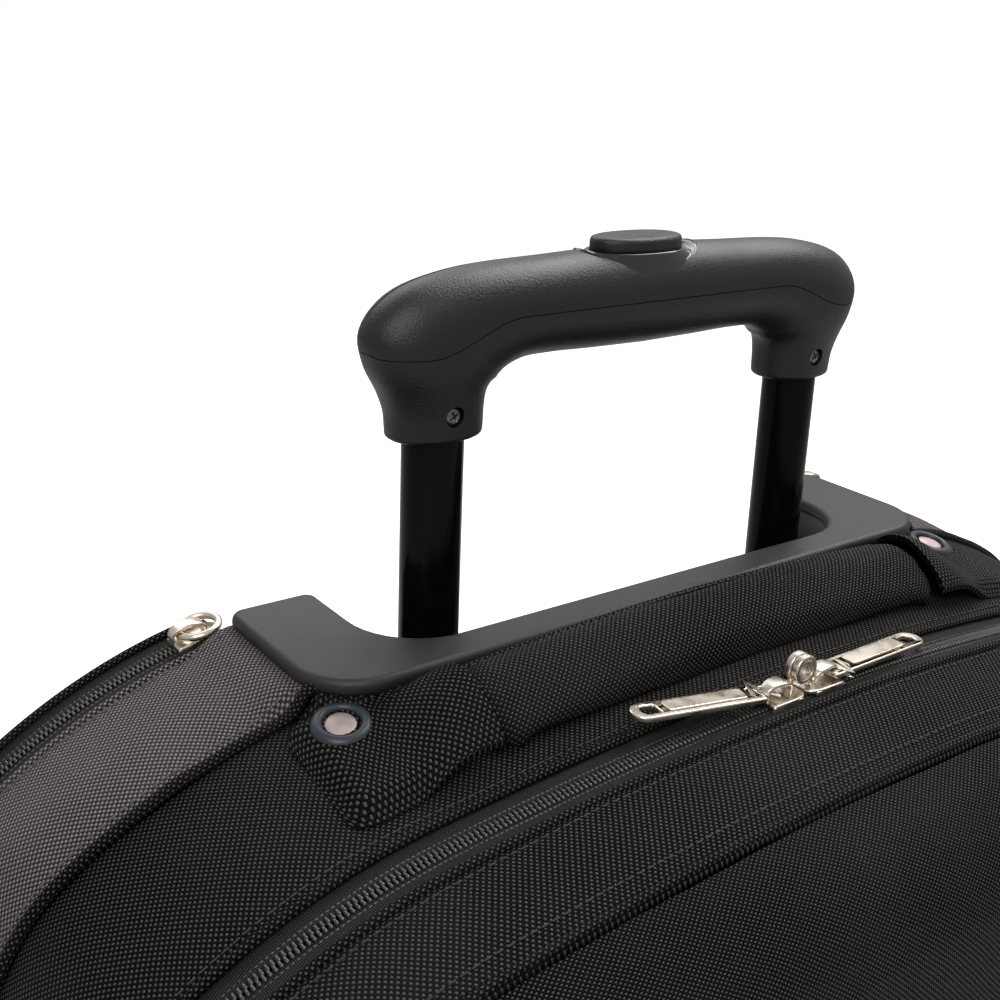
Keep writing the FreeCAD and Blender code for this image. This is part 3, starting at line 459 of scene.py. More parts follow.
def metal(name, colour, roughness=0.22, brushed=0.15, streak=(400.0, 400.0, 60.0)):
    """Plated metal with fine brushing and small dull patches."""
    n = Nodes(name)
    stretch = n.add("Mapping")
    stretch.inputs["Scale"].default_value = streak
    n.put(stretch.inputs["Vector"], n.position())
    lines = n.noise(6.0, 3.0, stretch.outputs[0], 0.7)
    patch = n.noise(160.0, 3.0, n.position())
    tone = n.mix(n.remap(patch, 0.45, 0.8, 0.0, 0.5), shade(colour), shade(colour, 0.55))
    dull = n.remap(patch, 0.3, 0.75, roughness - 0.05, roughness + 0.15)
    rough = n.math("ADD", dull, n.times(lines, brushed))
    return n.set(Base_Color=tone, Metallic=1.0, Roughness=rough, Normal=n.bump(lines, 0.02, 0.5))


def ribbed_tape(name, colour, pitch=1.1):
    """Zip tape: fine ribs across it and a herringbone of threads."""
    n = Nodes(name)
    uv, length, width = n.cloth_uv()
    along = n.times(length, 2 * 2 * math.pi / pitch)
    lean = n.times(n.math("ABSOLUTE", n.math("SINE", n.times(width, 1.4))), 2.0)
    rib = n.math("SINE", n.math("ADD", along, lean))
    thread = n.noise(3.0, 3.0, uv)
    # painted shade and highlight: the colour follows the ribs, dark in the furrows and pale on the crests
    tone = n.mix(n.remap(rib, -0.2, 0.9, 0.0, 1.0), shade(colour, 0.12), shade(colour, 1.8))
    height = n.math("ADD", n.remap(rib, -1.0, 1.0, 0.0, 1.0), n.times(thread, 0.4))
    return n.set(Base_Color=tone, Roughness=0.62, Normal=n.bump(height, 0.22), Specular_IOR_Level=0.15)


NYLON_GREY = woven("nylon_grey", (0.012, 0.0095, 0.01), (0.37, 0.318, 0.32), sheen=0.04, dot=(-0.22, 0.4))
NYLON_BLACK = woven("nylon_black", (0.0016, 0.0015, 0.0015), (0.085, 0.08, 0.075), dot=(0.08, 0.6), shine=0.3)
LINING = woven("lining", (0.05, 0.05, 0.055), (0.17, 0.17, 0.18), pitch=0.9, sheen=0.2, depth=0.12, fleck=0.25,
               shine=0.5)
TAPE_CLOTH = ribbed_tape("zip_tape", (0.026, 0.025, 0.025))
CAP_PLASTIC = moulded("cap_plastic", (0.0195, 0.0174, 0.0158), 0.46, grain=0.1, wear=0.12)
GRIP_PLASTIC = moulded("grip_plastic", (0.006, 0.006, 0.0062), 0.36, grain=0.17, scale=1500.0, wear=0.05)
BASE_PLASTIC = moulded("base_plastic", (0.014, 0.014, 0.015), 0.48, grain=0.12, scale=900.0, wear=0.12)
GLOSS_BLACK = moulded("gloss_black", (0.006, 0.006, 0.007), 0.1, grain=0.003, wear=0.02, coat=0.6)
TUBE_BLACK = moulded("tube_black", (0.002, 0.002, 0.0022), 0.13, grain=0.002, wear=0.02, shine=0.1)
RING_PLASTIC = moulded("ring_plastic", (0.025, 0.032, 0.04), 0.33, grain=0.02)
RUBBER = moulded("rubber", (0.018, 0.018, 0.018), 0.7, grain=0.08, scale=800.0, wear=0.2)
HUB_PLASTIC = moulded("hub_plastic", (0.03, 0.03, 0.032), 0.42, grain=0.06, scale=1000.0, wear=0.15)
BOARD = moulded("board", (0.05, 0.045, 0.04), 0.75, grain=0.3, scale=350.0, wear=0.2)
THREAD = moulded("thread", (0.02, 0.02, 0.021), 0.6, scale=3000.0, wear=0.2)
THREAD_GREY = moulded("thread_grey", (0.09, 0.085, 0.088), 0.6, scale=3000.0, wear=0.2)
COIL = moulded("coil", (0.035, 0.034, 0.033), 0.22, grain=0.01, shine=0.9)
NICKEL = metal("nickel", (0.82, 0.74, 0.63), brushed=0.12)
STEEL = metal("steel", (0.2, 0.19, 0.175))
RIVET_METAL = metal("rivet_metal", (0.5, 0.42, 0.4), 0.42, brushed=0.25, streak=(900.0, 120.0, 120.0))


# ------------------------------------------------------------------ the shell's outline
def arc_points(centre, radius, start, stop, count):
    """Points on an arc with their outward directions; the last point is left out."""
    for k in range(count):
        angle = start + (stop - start) * k / count
        out = (math.cos(angle), math.sin(angle))
        yield centre[0] + radius * out[0], centre[1] + radius * out[1], out


def line_points(start, stop, out, count):
    for k in range(count):
        share = k / count
        yield start[0] + (stop[0] - start[0]) * share, start[1] + (stop[1] - start[1]) * share, out


def outline(top, inset=0.0, base=BASE):
    """The shell's outline at one depth: (x, z, outward, length so far), clockwise from the bottom middle."""
    crown, shoulder, corner = CROWN_R - inset, SHOULDER_R - inset, CORNER_R - inset
    half, floor, small = HALF - inset, base + inset, LOW_R
    centre = top - inset - crown
    sx = (crown - shoulder) * math.sin(CROWN_LEAN)
    sz = centre + (crown - shoulder) * math.cos(CROWN_LEAN)
    across = half - corner - sx
    cz = sz + math.sqrt((shoulder - corner) ** 2 - across ** 2)
    lean = math.atan2(across, cz - sz)
    q = math.pi / 2
    points = list(line_points((0, floor), (small - half, floor), (0, -1), 16))
    points += arc_points((small - half, floor + small), small, 3 * q, 2 * q, 5)
    points += line_points((-half, floor + small), (-half, cz), (-1, 0), 48)
    points += arc_points((corner - half, cz), corner, 2 * q, q + lean, 14)
    points += arc_points((-sx, sz), shoulder, q + lean, q + CROWN_LEAN, 26)
    points += arc_points((0, centre), crown, q + CROWN_LEAN, q - CROWN_LEAN, 84)
    points += arc_points((sx, sz), shoulder, q - CROWN_LEAN, q - lean, 26)
    points += arc_points((half - corner, cz), corner, q - lean, 0, 14)
    points += line_points((half, cz), (half, floor + small), (1, 0), 48)
    points += arc_points((half - small, floor + small), small, 0, -q, 5)
    points += line_points((half - small, floor), (0, floor), (0, -1), 16)
    length = 0.0
    result = []
    for k, (x, z, out) in enumerate(points):
        if k:
            length += math.hypot(x - points[k - 1][0], z - points[k - 1][1])
        result.append((x, z, out, length))
    return result


def on_shell(x, y):
    """Height of the shell's top at one x and depth."""
    top = top_at(y)
    if abs(x) <= CROWN_R * math.sin(CROWN_LEAN):
        centre_x, centre_z, radius = 0.0, top - CROWN_R, CROWN_R
    else:
        centre_x = math.copysign(SHOULDER_X, x)
        centre_z = top - CROWN_R + (CROWN_R - SHOULDER_R) * math.cos(CROWN_LEAN)
        radius = SHOULDER_R
    return centre_z + math.sqrt(max(radius ** 2 - (x - centre_x) ** 2, 1.0))


def cap_gap(x, y):
    """Distance outside the cap's plan outline."""
    radius = 20.0
    dx = abs(x) - (CAP_X - radius)
    dy = CAP_FRONT + radius - y
    if dy < 0:
        return abs(x) - CAP_X
    return math.hypot(max(dx, 0), max(dy, 0)) + min(max(dx, dy), 0) - radius


def outward(out):
    return Vector((out[0], 0, out[1]))


def cloth_point(x, y, z, out, length, share, puff, seed):
    """Move a point of the plain outline to where soft, stuffed cloth would lie."""
    middle = math.sin(math.pi * min(max(share, 0), 1)) ** 0.7
    lift = puff * middle * (1 + 0.35 * wave(x * 0.012, y * 0.02, z * 0.012, seed))
    lift += 0.55 * (1 - middle) * wave(length * 0.085, share * 1.5, 0.0, seed + 3)
    lift += 0.7 * wave(x * 0.03, y * 0.05, z * 0.03, seed + 9)
    px, pz = x + out[0] * lift, z + out[1] * lift
    if z > CAP_ZONE:
        # the cloth climbs to the cap's lip, less steeply beside a rivet
        reach = 3.0 + 12.0 * smooth(11.0, 26.0, math.hypot(abs(x) - RIVET_X, y - RIVET_Y))
        near = 1 - smooth(0.0, reach, cap_gap(x, y))
        pz += max(CAP_TOP - CAP_LIP + 0.8 - pz, 0.0) * near
    return Vector((px, y, pz))


# ------------------------------------------------------------------ soft shell
BANDS = {
    "rear": dict(y0=SEAM_Y + 0.5, y1=REAR_ZIP_Y - TAPE + 1.0, puff=2.2, seed=2.0, base=BASE),
    "main": dict(y0=ZIP_Y + TAPE - 1.0, y1=SEAM_Y - 0.5, puff=1.6, seed=5.0, base=BASE),
    "front": dict(y0=LID_SEAM_Y - 3, y1=ZIP_Y - TAPE + 1.0, puff=1.6, seed=8.0, base=LID_BASE),
}


def band(which, rows, material):
    """A stuffed band of cloth round the shell between two depths, with turned-in edges."""
    spec = BANDS[which]
    shares = [0.0, 0.012] + [k / rows for k in range(1, rows)] + [0.988, 1.0]
    depths = [spec["y0"] + (spec["y1"] - spec["y0"]) * share for share in shares]
    grid, lengths = [], []
    for share, y in zip(shares, depths):
        ring = outline(top_at(y), base=spec["base"])
        tucked = FOLD if share in (0.0, 1.0) else 0.0
        grid.append([cloth_point(x, y, z, out, length, share, spec["puff"], spec["seed"]) - outward(out) * tucked
                     for x, z, out, length in ring])
        lengths.append([item[3] for item in ring])

    def uvs(j, i):
        return lengths[j][i] if i < len(lengths[j]) else lengths[j][-1] + 12.0, depths[j]

    cloth = from_grid(f"{which}_band_cloth", grid, [material, LINING], around=True, uvs=uvs)
    thicken(cloth, CLOTH, inner=1)
    return cloth


def clear_of_cap(cloth):
    """Cut away the cloth that would cross the inside of the trolley cap."""
    apply_all(cloth)
    side, front, back = CAP_X - 6, CAP_FRONT + 5, BACK_Y + 20
    plan = [(-side, back, 2), (-side, front, 15), (side, front, 15), (side, back, 2)]
    return boolean(cloth, prism("cap_hole", rounded_path(plan, 6), 335, 430, NYLON_BLACK))


def make_shell():
    for which, rows, material, body, slot, node in (
            ("rear", 22, NYLON_GREY, "case", "gusset_grey", "rear_gusset"),
            ("main", 22, NYLON_BLACK, "case", "gusset_black", "main_gusset"),
            ("front", 16, NYLON_BLACK, "front_lid", "gusset_black", "front_gusset")):
        cloth = band(which, rows, material)
        if body == "case":
            clear_of_cap(cloth)
        place(cloth, body, slot, node)


def face_panel(name, stations, middle, base, seed, rings=14, pillow=3.0, way=-1):
    """A panel that closes the shell: rounded rings, then rings that shrink to the middle height."""
    grid, uv_rows = [], []
    for y, inset in stations:
        row = [Vector((x, y, z)) + outward(out) * 0.5 * wave(x * 0.03, y * 0.05, z * 0.03, seed)
               for x, z, out, _ in outline(top_at(y), inset, base)]
        grid.append(row)
        uv_rows.append([(point.x, point.z - way * (y - stations[-1][0])) for point in row])
    last = grid[-1]
    for k in range(1, rings + 1):
        share = (1 - k / rings) ** 0.8
        row = []
        for point in last:
            x, z = point.x * share, middle + (point.z - middle) * share
            swell = pillow * (1 - share ** 4) + 0.6 * wave(x * 0.018, 0, z * 0.018, seed)
            row.append(Vector((x, point.y + way * swell, z)))
        grid.append(row)
        uv_rows.append([(point.x, point.z) for point in row])
    panel = from_grid(name, grid, [NYLON_BLACK, LINING], around=True,
                      uvs=lambda j, i: uv_rows[j][i % len(last)])
    bm = bmesh.new()
    bm.from_mesh(panel.data)
    bmesh.ops.remove_doubles(bm, verts=bm.verts, dist=0.05 * MM)
    bm.to_mesh(panel.data)
    bm.free()
    return panel


def make_front_and_back():
    radius = 27.0
    stations = [(LID_SEAM_Y - 4, 0.0), (FRONT_Y + radius + 2, 0.0)]
    stations += [(FRONT_Y + radius - radius * math.sin(a), radius * (1 - math.cos(a)))
                 for a in (k * math.pi / 12 for k in range(1, 7))]
    front = face_panel("front_panel_cloth", stations, 190, LID_BASE, 4.0)
    front.data.flip_normals()
    thicken(front, CLOTH, inner=1)
    place(front, "front_lid", "gusset_black", "front_panel")
    stations = [(REAR_ZIP_Y + TAPE - 0.5, 0.6), (BACK_Y - 3.0, 1.6), (BACK_Y - 0.6, 5.0)]
    back = face_panel("back_panel_cloth", stations, 230, BACK_BASE, 6.0, rings=30, pillow=1.5, way=1)
    thicken(back, CLOTH, inner=1)
    apply_all(back)
    side = CAP_X + 1.2
    notch = prism("notch", square(-side, side, CAP_FOOT - 1.6, 430), -40, 40, NYLON_BLACK)
    notch.data.transform(Matrix.Translation((0, BACK_Y * MM, 0)) @ Matrix.Rotation(math.pi / 2, 4, "X"))
    place(boolean(back, notch), "back_lid", "gusset_black", "back_panel")


# ------------------------------------------------------------------ trolley cap
def cut_ramp(piece):
    """Slope the recess's floor down behind the tubes."""
    side = RECESS_X - 0.5
    cutter = prism("ramp", square(-side, side, 0, 60), 0, 40, CAP_PLASTIC)
    cutter.data.transform(Matrix.Translation((0, RAMP_Y * MM, RECESS_FLOOR * MM))
                          @ Matrix.Rotation(math.radians(-RAMP_LEAN), 4, "X"))
    return boolean(piece, cutter)


def recessed_plan(inset, grow, corners):
    """The cap's plan with the recess cut into its back; corners are its outer, front and inner-end radii."""
    side, recess, front = CAP_X - inset, RECESS_X + grow, RECESS_Y - grow
    outer, nose, inner = corners
    return [(-side, CAP_BACK, outer), (-side, CAP_FRONT + inset, nose), (side, CAP_FRONT + inset, nose),
            (side, CAP_BACK, outer), (recess, CAP_BACK, inner), (recess, front, RECESS_R),
            (-recess, front, RECESS_R), (-recess, CAP_BACK, inner)]


def make_cap():
    lip = CAP_TOP - CAP_LIP
    rim = prism("cap_rim", rounded_path(recessed_plan(0, 0, (5, 20, 4)), 10), lip, CAP_TOP, CAP_PLASTIC)
    place(apply_all(soften(rim, 2.3, 5)), "case", "cap_plastic")
    wall_path = rounded_path(recessed_plan(8, 0.6, (3, 12, 3)))
    place(prism("cap_wall", wall_path, RECESS_FLOOR - 4, lip + 0.5, CAP_PLASTIC), "case", "cap_plastic")
    wide, narrow = CAP_X - 2, CAP_X - 8
    floor_path = rounded_path([(-wide, CAP_BACK, 1), (-wide, CAP_BACK - 7, 1), (-narrow, CAP_BACK - 7, 0.5),
                               (-narrow, CAP_FRONT + 9, 12), (narrow, CAP_FRONT + 9, 12),
                               (narrow, CAP_BACK - 7, 0.5), (wide, CAP_BACK - 7, 1), (wide, CAP_BACK, 1)])
    floor = prism("cap_floor", floor_path, RECESS_FLOOR - 26, RECESS_FLOOR, CAP_PLASTIC)
    for side in (-1, 1):
        boolean(floor, lathe("hole", [(0, -30), (14.2, -30), (14.2, 20), (0, 20)],
                             (side * TUBE_X, TUBE_Y, RECESS_FLOOR), (0, 0, 1), CAP_PLASTIC))
    cut_ramp(floor)
    place(apply_all(soften(floor, 1.5)), "case", "cap_plastic")
    apron_path = rounded_path([(-CAP_X, BACK_Y, 9), (-CAP_X, CAP_BACK - 6, 2), (CAP_X, CAP_BACK - 6, 2),
                               (CAP_X, BACK_Y, 9)])
    apron = prism("cap_apron", apron_path, CAP_FOOT, RECESS_FLOOR - LEDGE_DROP, CAP_PLASTIC)
    place(apply_all(soften(apron, 2.0, 4)), "case", "cap_plastic")
    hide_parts("top_cap")


# ------------------------------------------------------------------ trolley handle
MID_TUBE_R, OUTER_TUBE_R = 11.2, 13.0


def make_tubes():
    wall, edge = 1.0, 0.3
    for side, word in ((-1, "left"), (1, "right")):
        for node, radius, body in (("inner_tubes", TUBE_R, "handle_top"),
                                   ("mid_tubes", MID_TUBE_R, "handle_mid"),
                                   ("outer_tubes", OUTER_TUBE_R, "case")):
            bottom, top = low(node).z, high(node).z
            profile = [(radius - wall, bottom), (radius - edge, bottom), (radius, bottom + edge),
                       (radius, top - edge), (radius - edge, top), (radius - wall, top), (radius - wall, bottom)]
            tube = lathe(f"{node[:-1]}_{word}", profile, (side * TUBE_X, TUBE_Y, 0), (0, 0, 1), TUBE_BLACK, 96)
            place(soften(tube, 0.15, 2, 30), body, "tube_black", node)


# Sections of the grip from the middle of the bar to the foot of a socket:
# (middle x, middle height, lean of the section in degrees, half size in plane, half depth)
GRIP_SECTIONS = [(0.0, 35.9, 90.0, 15.9, 14.0), (22.0, 35.9, 88.0, 15.5, 14.0), (40.0, 35.8, 84.0, 15.0, 14.0),
                 (54.0, 35.3, 72.0, 15.6, 14.2), (66.0, 33.2, 55.0, 18.3, 14.4), (75.0, 29.8, 36.0, 22.2, 14.5),
                 (79.6, 24.6, 22.0, 23.4, 14.4), (80.1, 19.0, 12.0, 20.6, 13.7), (78.6, 13.6, 4.0, 17.4, 12.7),
                 (77.6, 8.0, 1.0, 15.9, 11.8), (77.3, 3.0, 0.0, 15.6, 11.4), (77.3, 0.8, 0.0, 15.4, 11.2),
                 (77.3, 0.0, 0.0, 14.6, 10.5)]
# half length and half width of the bezel round the button, and its middle
BEZEL_EDGE = (23.2, 11.8)
BEZEL_X = -1.5
WELL_FLOOR = 41.5
SCREW_RISE = 8.0


def grip_ring(at, side):
    """One section of the grip, a soft oval in a plane that leans with the handle."""
    x, z, lean, half, depth = (spline([row[k] for row in GRIP_SECTIONS], at) for k in range(5))
    lean = math.radians(lean)
    points = []
    for angle in angles(72):
        across = soft_power(math.cos(angle), 0.92) * half
        deep = soft_power(math.sin(angle), 0.92) * depth
        points.append(Vector((side * (x + across * math.cos(lean)), TUBE_Y - side * deep,
                              GRIP_Z + z + across * math.sin(lean))))
    return points


def grip_body():
    """The whole grip as one closed skin."""
    steps = 5
    places = [k / steps for k in range((len(GRIP_SECTIONS) - 1) * steps + 1)]
    rows = [grip_ring(at, -1) for at in reversed(places)]
    mirrored = [list(reversed(grip_ring(at, 1))) for at in places[1:]]
    rows += [row[-1:] + row[:-1] for row in mirrored]
    return close_ends(from_grid("grip_skin", rows, GRIP_PLASTIC, around=True))


def split_height(x):
    """Height of the grip's parting line above its foot at one |x| on the front."""
    return 36.0 - 9.6 * smooth(55.0, 88.0, abs(x)) + 4.2 * smooth(99.0, 108.0, abs(x))


def skin_top(grip, x, y):
    """The highest point of the grip's skin at one place."""
    return grip.ray_cast(Vector((x, y, GRIP_Z + 90)) * MM, Vector((0, 0, -1)))[1] / MM


def cut_openings(grip):
    """Screw holes, tube bores, the well under the button and two grooves along the top."""
    for side in (-1, 1):
        boolean(grip, lathe("hole", [(0.01, -6), (3.1, -6), (3.2, 2.5), (3.9, 3.3), (3.9, 20), (0.01, 20)],
                            (side * TUBE_X, TUBE_Y - 14.0, GRIP_Z + SCREW_RISE), (0, -1, 0), GRIP_PLASTIC, 40))
        boolean(grip, lathe("bore", [(0.01, -20), (9.7, -20), (9.7, 16), (0.01, 16)],
                            (side * TUBE_X, TUBE_Y, GRIP_Z), (0, 0, 1), GRIP_PLASTIC))
    long, wide = (size + 0.25 for size in BEZEL_EDGE)
    well = lathe("well", [(0.01, WELL_FLOOR), (long, WELL_FLOOR), (long, 70), (0.01, 70)], (0, 0, 0), (0, 0, 1),
                 GRIP_PLASTIC, 96)
    well.data.transform(Matrix.Translation(Vector((BEZEL_X, TUBE_Y, GRIP_Z)) * MM)
                        @ Matrix.Diagonal((1, wide / long, 1, 1)))
    paths = [[skin_top(grip, start + (stop - start) * k / 40, TUBE_Y + 2.5) for k in range(41)]
             for start, stop in ((-99.0, -31.0), (31.0, 81.0))]
    boolean(grip, well)
    for path in paths:
        boolean(grip, cord("groove", path, 0.38, GRIP_PLASTIC, count=6))


def part_shells(grip):
    """Part the skin into an upper and a lower shell with a thin curved blade."""
    gap, reach = 0.14, 30
    corners = [(TUBE_Y - reach, -gap), (TUBE_Y + reach, -gap), (TUBE_Y + reach, gap), (TUBE_Y - reach, gap)]
    rows = [[Vector((x, y, GRIP_Z + split_height(x) + lift)) for y, lift in corners]
            for x in range(-120, 121, 2)]
    boolean(grip, close_ends(from_grid("blade", rows, GRIP_PLASTIC, around=True)))


def islands(mesh):
    """The separate closed surfaces of a mesh: (greatest height in millimetres, face numbers)."""
    bm = bmesh.new()
    bm.from_mesh(mesh)
    seen, found = set(), []
    for face in bm.faces:
        if face in seen:
            continue
        island, stack = [], [face]
        seen.add(face)
        while stack:
            item = stack.pop()
            island.append(item)
            fresh = {other for edge in item.edges for other in edge.link_faces} - seen
            seen |= fresh
            stack += fresh
        tall = max(vert.co.z for item in island for vert in item.verts) / MM
        found.append((tall, [item.index for item in island]))
    bm.free()
    return found


def make_grip():
    grip = grip_body()
    cut_openings(grip)
    part_shells(grip)
    parts = islands(grip.data)
    for word, is_upper in (("upper", True), ("lower", False)):
        wanted = {index for tall, faces in parts for index in faces if (tall > GRIP_Z + 45) == is_upper}
        bm = bmesh.new()
        bm.from_mesh(grip.data)
        bmesh.ops.delete(bm, geom=[face for face in bm.faces if face.index not in wanted], context="FACES")
        name = f"grip_{word}_skin"
        mesh = mesh_of(name, bm)
        mesh.transform(Matrix.Scale(1 / MM, 4))
        shell = finish_mesh(name, mesh, GRIP_PLASTIC)
        modifier(shell, "BEVEL", width=0.35 * MM, segments=2, limit_method="ANGLE",
                 angle_limit=math.radians(50))
        apply_all(shell)
        for polygon in shell.data.polygons:
            polygon.use_smooth = True
        modifier(shell, "WEIGHTED_NORMAL", keep_sharp=True)
        place(apply_all(shell), "handle_top", "grip_plastic", f"grip_{word}_shell")
    bpy.data.objects.remove(grip)


def make_screws():
    for side, word in ((-1, "left"), (1, "right")):
        face = Vector((side * TUBE_X, TUBE_Y - 10.9, GRIP_Z + SCREW_RISE))
        head = [(0.01, 0.3), (1.6, 0.25), (2.5, 0.0), (2.85, -0.4), (2.85, -1.2), (0.01, -1.2)]
        screw = lathe(f"grip_screw_{word}", head, face, (0, -1, 0), STEEL, 40)
        for turn in (0.5, 0.5 + math.pi / 2):
            slot = prism("slot", square(-1.8, 1.8, -0.32, 0.32), -0.7, 2.0, STEEL)
            slot.data.transform(Matrix.Translation(face * MM) @ Matrix.Rotation(math.pi / 2, 4, "X")
                                @ Matrix.Rotation(turn, 4, "Z"))
            boolean(screw, slot)
        place(screw, "handle_top", "steel", "grip_screws")


def oval(long, wide, height, sag=lambda dy: 0.0):
    """One ring of an oval form round the button, its height above the grip's foot."""
    ring = []
    for a in angles(96):
        dx, dy = soft_power(math.cos(a), 0.9) * long, soft_power(math.sin(a), 0.9) * wide
        ring.append(Vector((BEZEL_X + dx, TUBE_Y + dy, GRIP_Z + height - sag(dy))))
    return ring


def bar_fall(dy):
    """How far the grip's skin falls below its crest beside the middle line."""
    half, depth = GRIP_SECTIONS[0][3:]
    return half * (1 - math.sqrt(max(1 - (dy / depth) ** 2, 0.0)))


def make_button():
    long = (high("button_cap").x - low("button_cap").x) / 2 + 0.5
    wide = (high("button_cap").y - low("button_cap").y) / 2 - 0.2
    top = high("button_cap").z - GRIP_Z - 1.0
    profile = [(0.3, 46.5), (0.3, top - 1.7), (0.45, top - 1.0), (0.9, top - 0.4), (1.7, top - 0.1),
               (2.8, top), (5.0, top - 0.1), (8.0, top - 0.3)]
    rows = [oval(long - inset, wide - inset, height) for inset, height in profile]
    cap = close_ends(from_grid("button_top", rows, GRIP_PLASTIC, around=True))
    place(cap, "button", "grip_plastic", "button_cap")
    # the bezel: a lip round the button, then a hollowed skirt that meets the grip's skin
    rows = [oval(long + 0.3, wide + 0.3, 47.0), oval(long + 0.3, wide + 0.3, 49.9),
            oval(long + 0.55, wide + 0.5, 50.3), oval(long + 0.95, wide + 0.7, 50.1)]
    lip, edge, crest = rows[-1], BEZEL_EDGE, 51.5
    for share in (0.15, 0.35, 0.55, 0.75, 0.9, 1.0):
        hollow = 1.5 * math.sin(math.pi * share)
        ring = []
        for inner, outer in zip(lip, oval(*edge, crest, bar_fall)):
            end = (abs(inner.x - BEZEL_X) / long) ** 2
            ring.append(inner.lerp(outer, share) - Vector((0, 0, hollow * (0.25 + 0.75 * end))))
        rows.append(ring)
    rows.append(oval(*edge, crest - 3.0, bar_fall))
    bezel = from_grid("button_bezel_dish", rows, GLOSS_BLACK, around=True)
    thicken(bezel, 0.5)
    place(apply_all(bezel), "handle_top", "gloss_black", "button_bezel")


# ------------------------------------------------------------------ lines that follow the cloth
def cloth_line(which, y, lift=0.0):
    """Points and outward directions round one band at one depth, lying on its stuffed cloth."""
    spec = BANDS[which]
    share = (y - spec["y0"]) / (spec["y1"] - spec["y0"])
    line = []
    for x, z, out, length in outline(top_at(y), base=spec["base"]):
        point = cloth_point(x, y, z, out, length, share, spec["puff"], spec["seed"])
        line.append((point + outward(out) * lift, outward(out)))
    return line


def plain_line(y, inset=0.0, base=BASE, above=-1e9):
    """Points and outward directions round the shell at one depth, ignoring the stuffing."""
    return [(Vector((x, y, z)), outward(out)) for x, z, out, _ in outline(top_at(y), inset, base) if z > above]


def runs(line, keep):
    """Split a line into the stretches that keep() accepts."""
    result = [[]]
    for item in line:
        if keep(item[0]):
            result[-1].append(item)
        elif result[-1]:
            result.append([])
    return [run for run in result if len(run) > 2]


def resample(line, pitch):
    """Evenly spaced (point, out, forward) along a line."""
    result, carried = [], 0.0
    for (a, out_a), (b, out_b) in zip(line, line[1:]):
        length = (b - a).length
        while carried < length:
            share = carried / length
            result.append((a.lerp(b, share), out_a.lerp(out_b, share).normalized(), (b - a).normalized()))
            carried += pitch
        carried -= length
    return result


def skin_rings(bm, rings):
    """Join rings of new points into a closed surface with flat ends."""
    rings = [[bm.verts.new(point) for point in ring] for ring in rings]
    count = len(rings[0])
    for first, second in zip(rings, rings[1:]):
        for k in range(count):
            bm.faces.new((first[k], first[(k + 1) % count], second[(k + 1) % count], second[k]))
    bm.faces.new(list(reversed(rings[0])))
    bm.faces.new(rings[-1])


def bar(bm, centre, forward, out, half_long, half_wide, rise, sides=6):
    """A small rounded bar lying along forward, added to a mesh in progress."""
    side = forward.cross(out).normalized()
    skin_rings(bm, [[centre + forward * half_long * shift + side * half_wide * scale * math.cos(angle)
                     + out * rise * scale * math.sin(angle) for angle in angles(sides)]
                    for shift, scale in ((-1.0, 0.45), (-0.7, 1.0), (0.7, 1.0), (1.0, 0.45))])


def stitches(name, lines, material, pitch=3.3, half_long=1.15, radius=0.34):
    """Rows of thread stitches, each a small raised bar."""
    bm = bmesh.new()
    for line in lines:
        for point, out, forward in resample(line, pitch):
            bar(bm, point, forward, out, half_long, radius, radius * 0.9)
    return from_bmesh(name, bm, material)


def zip_thread(name, line):
    """The short stitches that hold a zip's coil to its tape."""
    return stitches(name, [line], THREAD_GREY, 1.55, 0.5, 0.33)


def line_cord(name, line, radius, material=NYLON_BLACK, closed=False):
    """A piping cord along a line, with cloth coordinates in millimetres."""
    length, lengths = 0.0, []
    for k, (point, _) in enumerate(line):
        length += (point - line[k - 1][0]).length if k else 0.0
        lengths.append(length)
    sides = 10
    rows = sweep([point for point, _ in line], circle(radius, sides), closed, up=lambda i: line[i][1])

    def uvs(j, i):
        return lengths[j] if j < len(rows) else lengths[-1] + 3.0, i * 2 * math.pi * radius / sides

    return from_grid(name, rows, material, around=True, across=closed, uvs=uvs)


# ------------------------------------------------------------------ zips
COIL_PITCH = 1.55


def zip_tape(name, y_in, y_out, base, above, keep):
    """One woven tape, slightly rolled, from the coil out under the cloth's edge."""
    columns = 7
    grid, lengths = [], []
    for x, z, out, length in outline(top_at((y_in + y_out) / 2), base=base):
        if z < above:
            continue
        row = []
        for k in range(columns + 1):
            share = k / columns
            drop = 1.0 - 0.5 * math.sin(share * math.pi) - 0.15 * wave(length * 0.05, share, 0, 3)
            row.append(Vector((x, y_in + (y_out - y_in) * share, z)) - outward(out) * drop)
        grid.append(row)
        lengths.append(length)
    tape = from_grid(name, grid, TAPE_CLOTH, keep=keep,
                     uvs=lambda j, i: (lengths[j], i / columns * abs(y_out - y_in)))
    thicken(tape, -0.9 if y_out > y_in else 0.9)
    return tape


def teeth(name, line, side, across, lift=0.25, rise=0.62, shift=COIL_PITCH / 2):
    """One half of a coil zip: bars that reach over the slit, those of one half set between the other's."""
    reach = 1.35
    bm = bmesh.new()
    for point, out, forward in resample(line, COIL_PITCH):
        start = point + forward * (0.0 if side > 0 else shift) + out * lift
        bar(bm, start + across * (reach - 0.35), across, out, reach, 0.52, rise)
    return from_bmesh(name, bm, COIL)


def zip_half(name, y, side, body, base, above, node, keep):
    """Tape, coil and thread line of one half of a zip that runs round the shell."""
    tape = zip_tape(name + "_tape", y + side * 0.7, y + side * (TAPE + 1.5), base, above, keep)
    place(tape, body, "zip_tape", node)
    for k, run in enumerate(runs(plain_line(y, 0.9, base, above), keep)):
        place(teeth(f"{name}_coil_{k}", run, side, Vector((0, side, 0))), body, "zip_tape")
        edge = [(point + Vector((0, side * 3.4, 0)) + out * 0.1, out) for point, out in run]
        place(zip_thread(f"{name}_thread_{k}", edge), body, "zip_tape")


def anywhere(point):
    return True


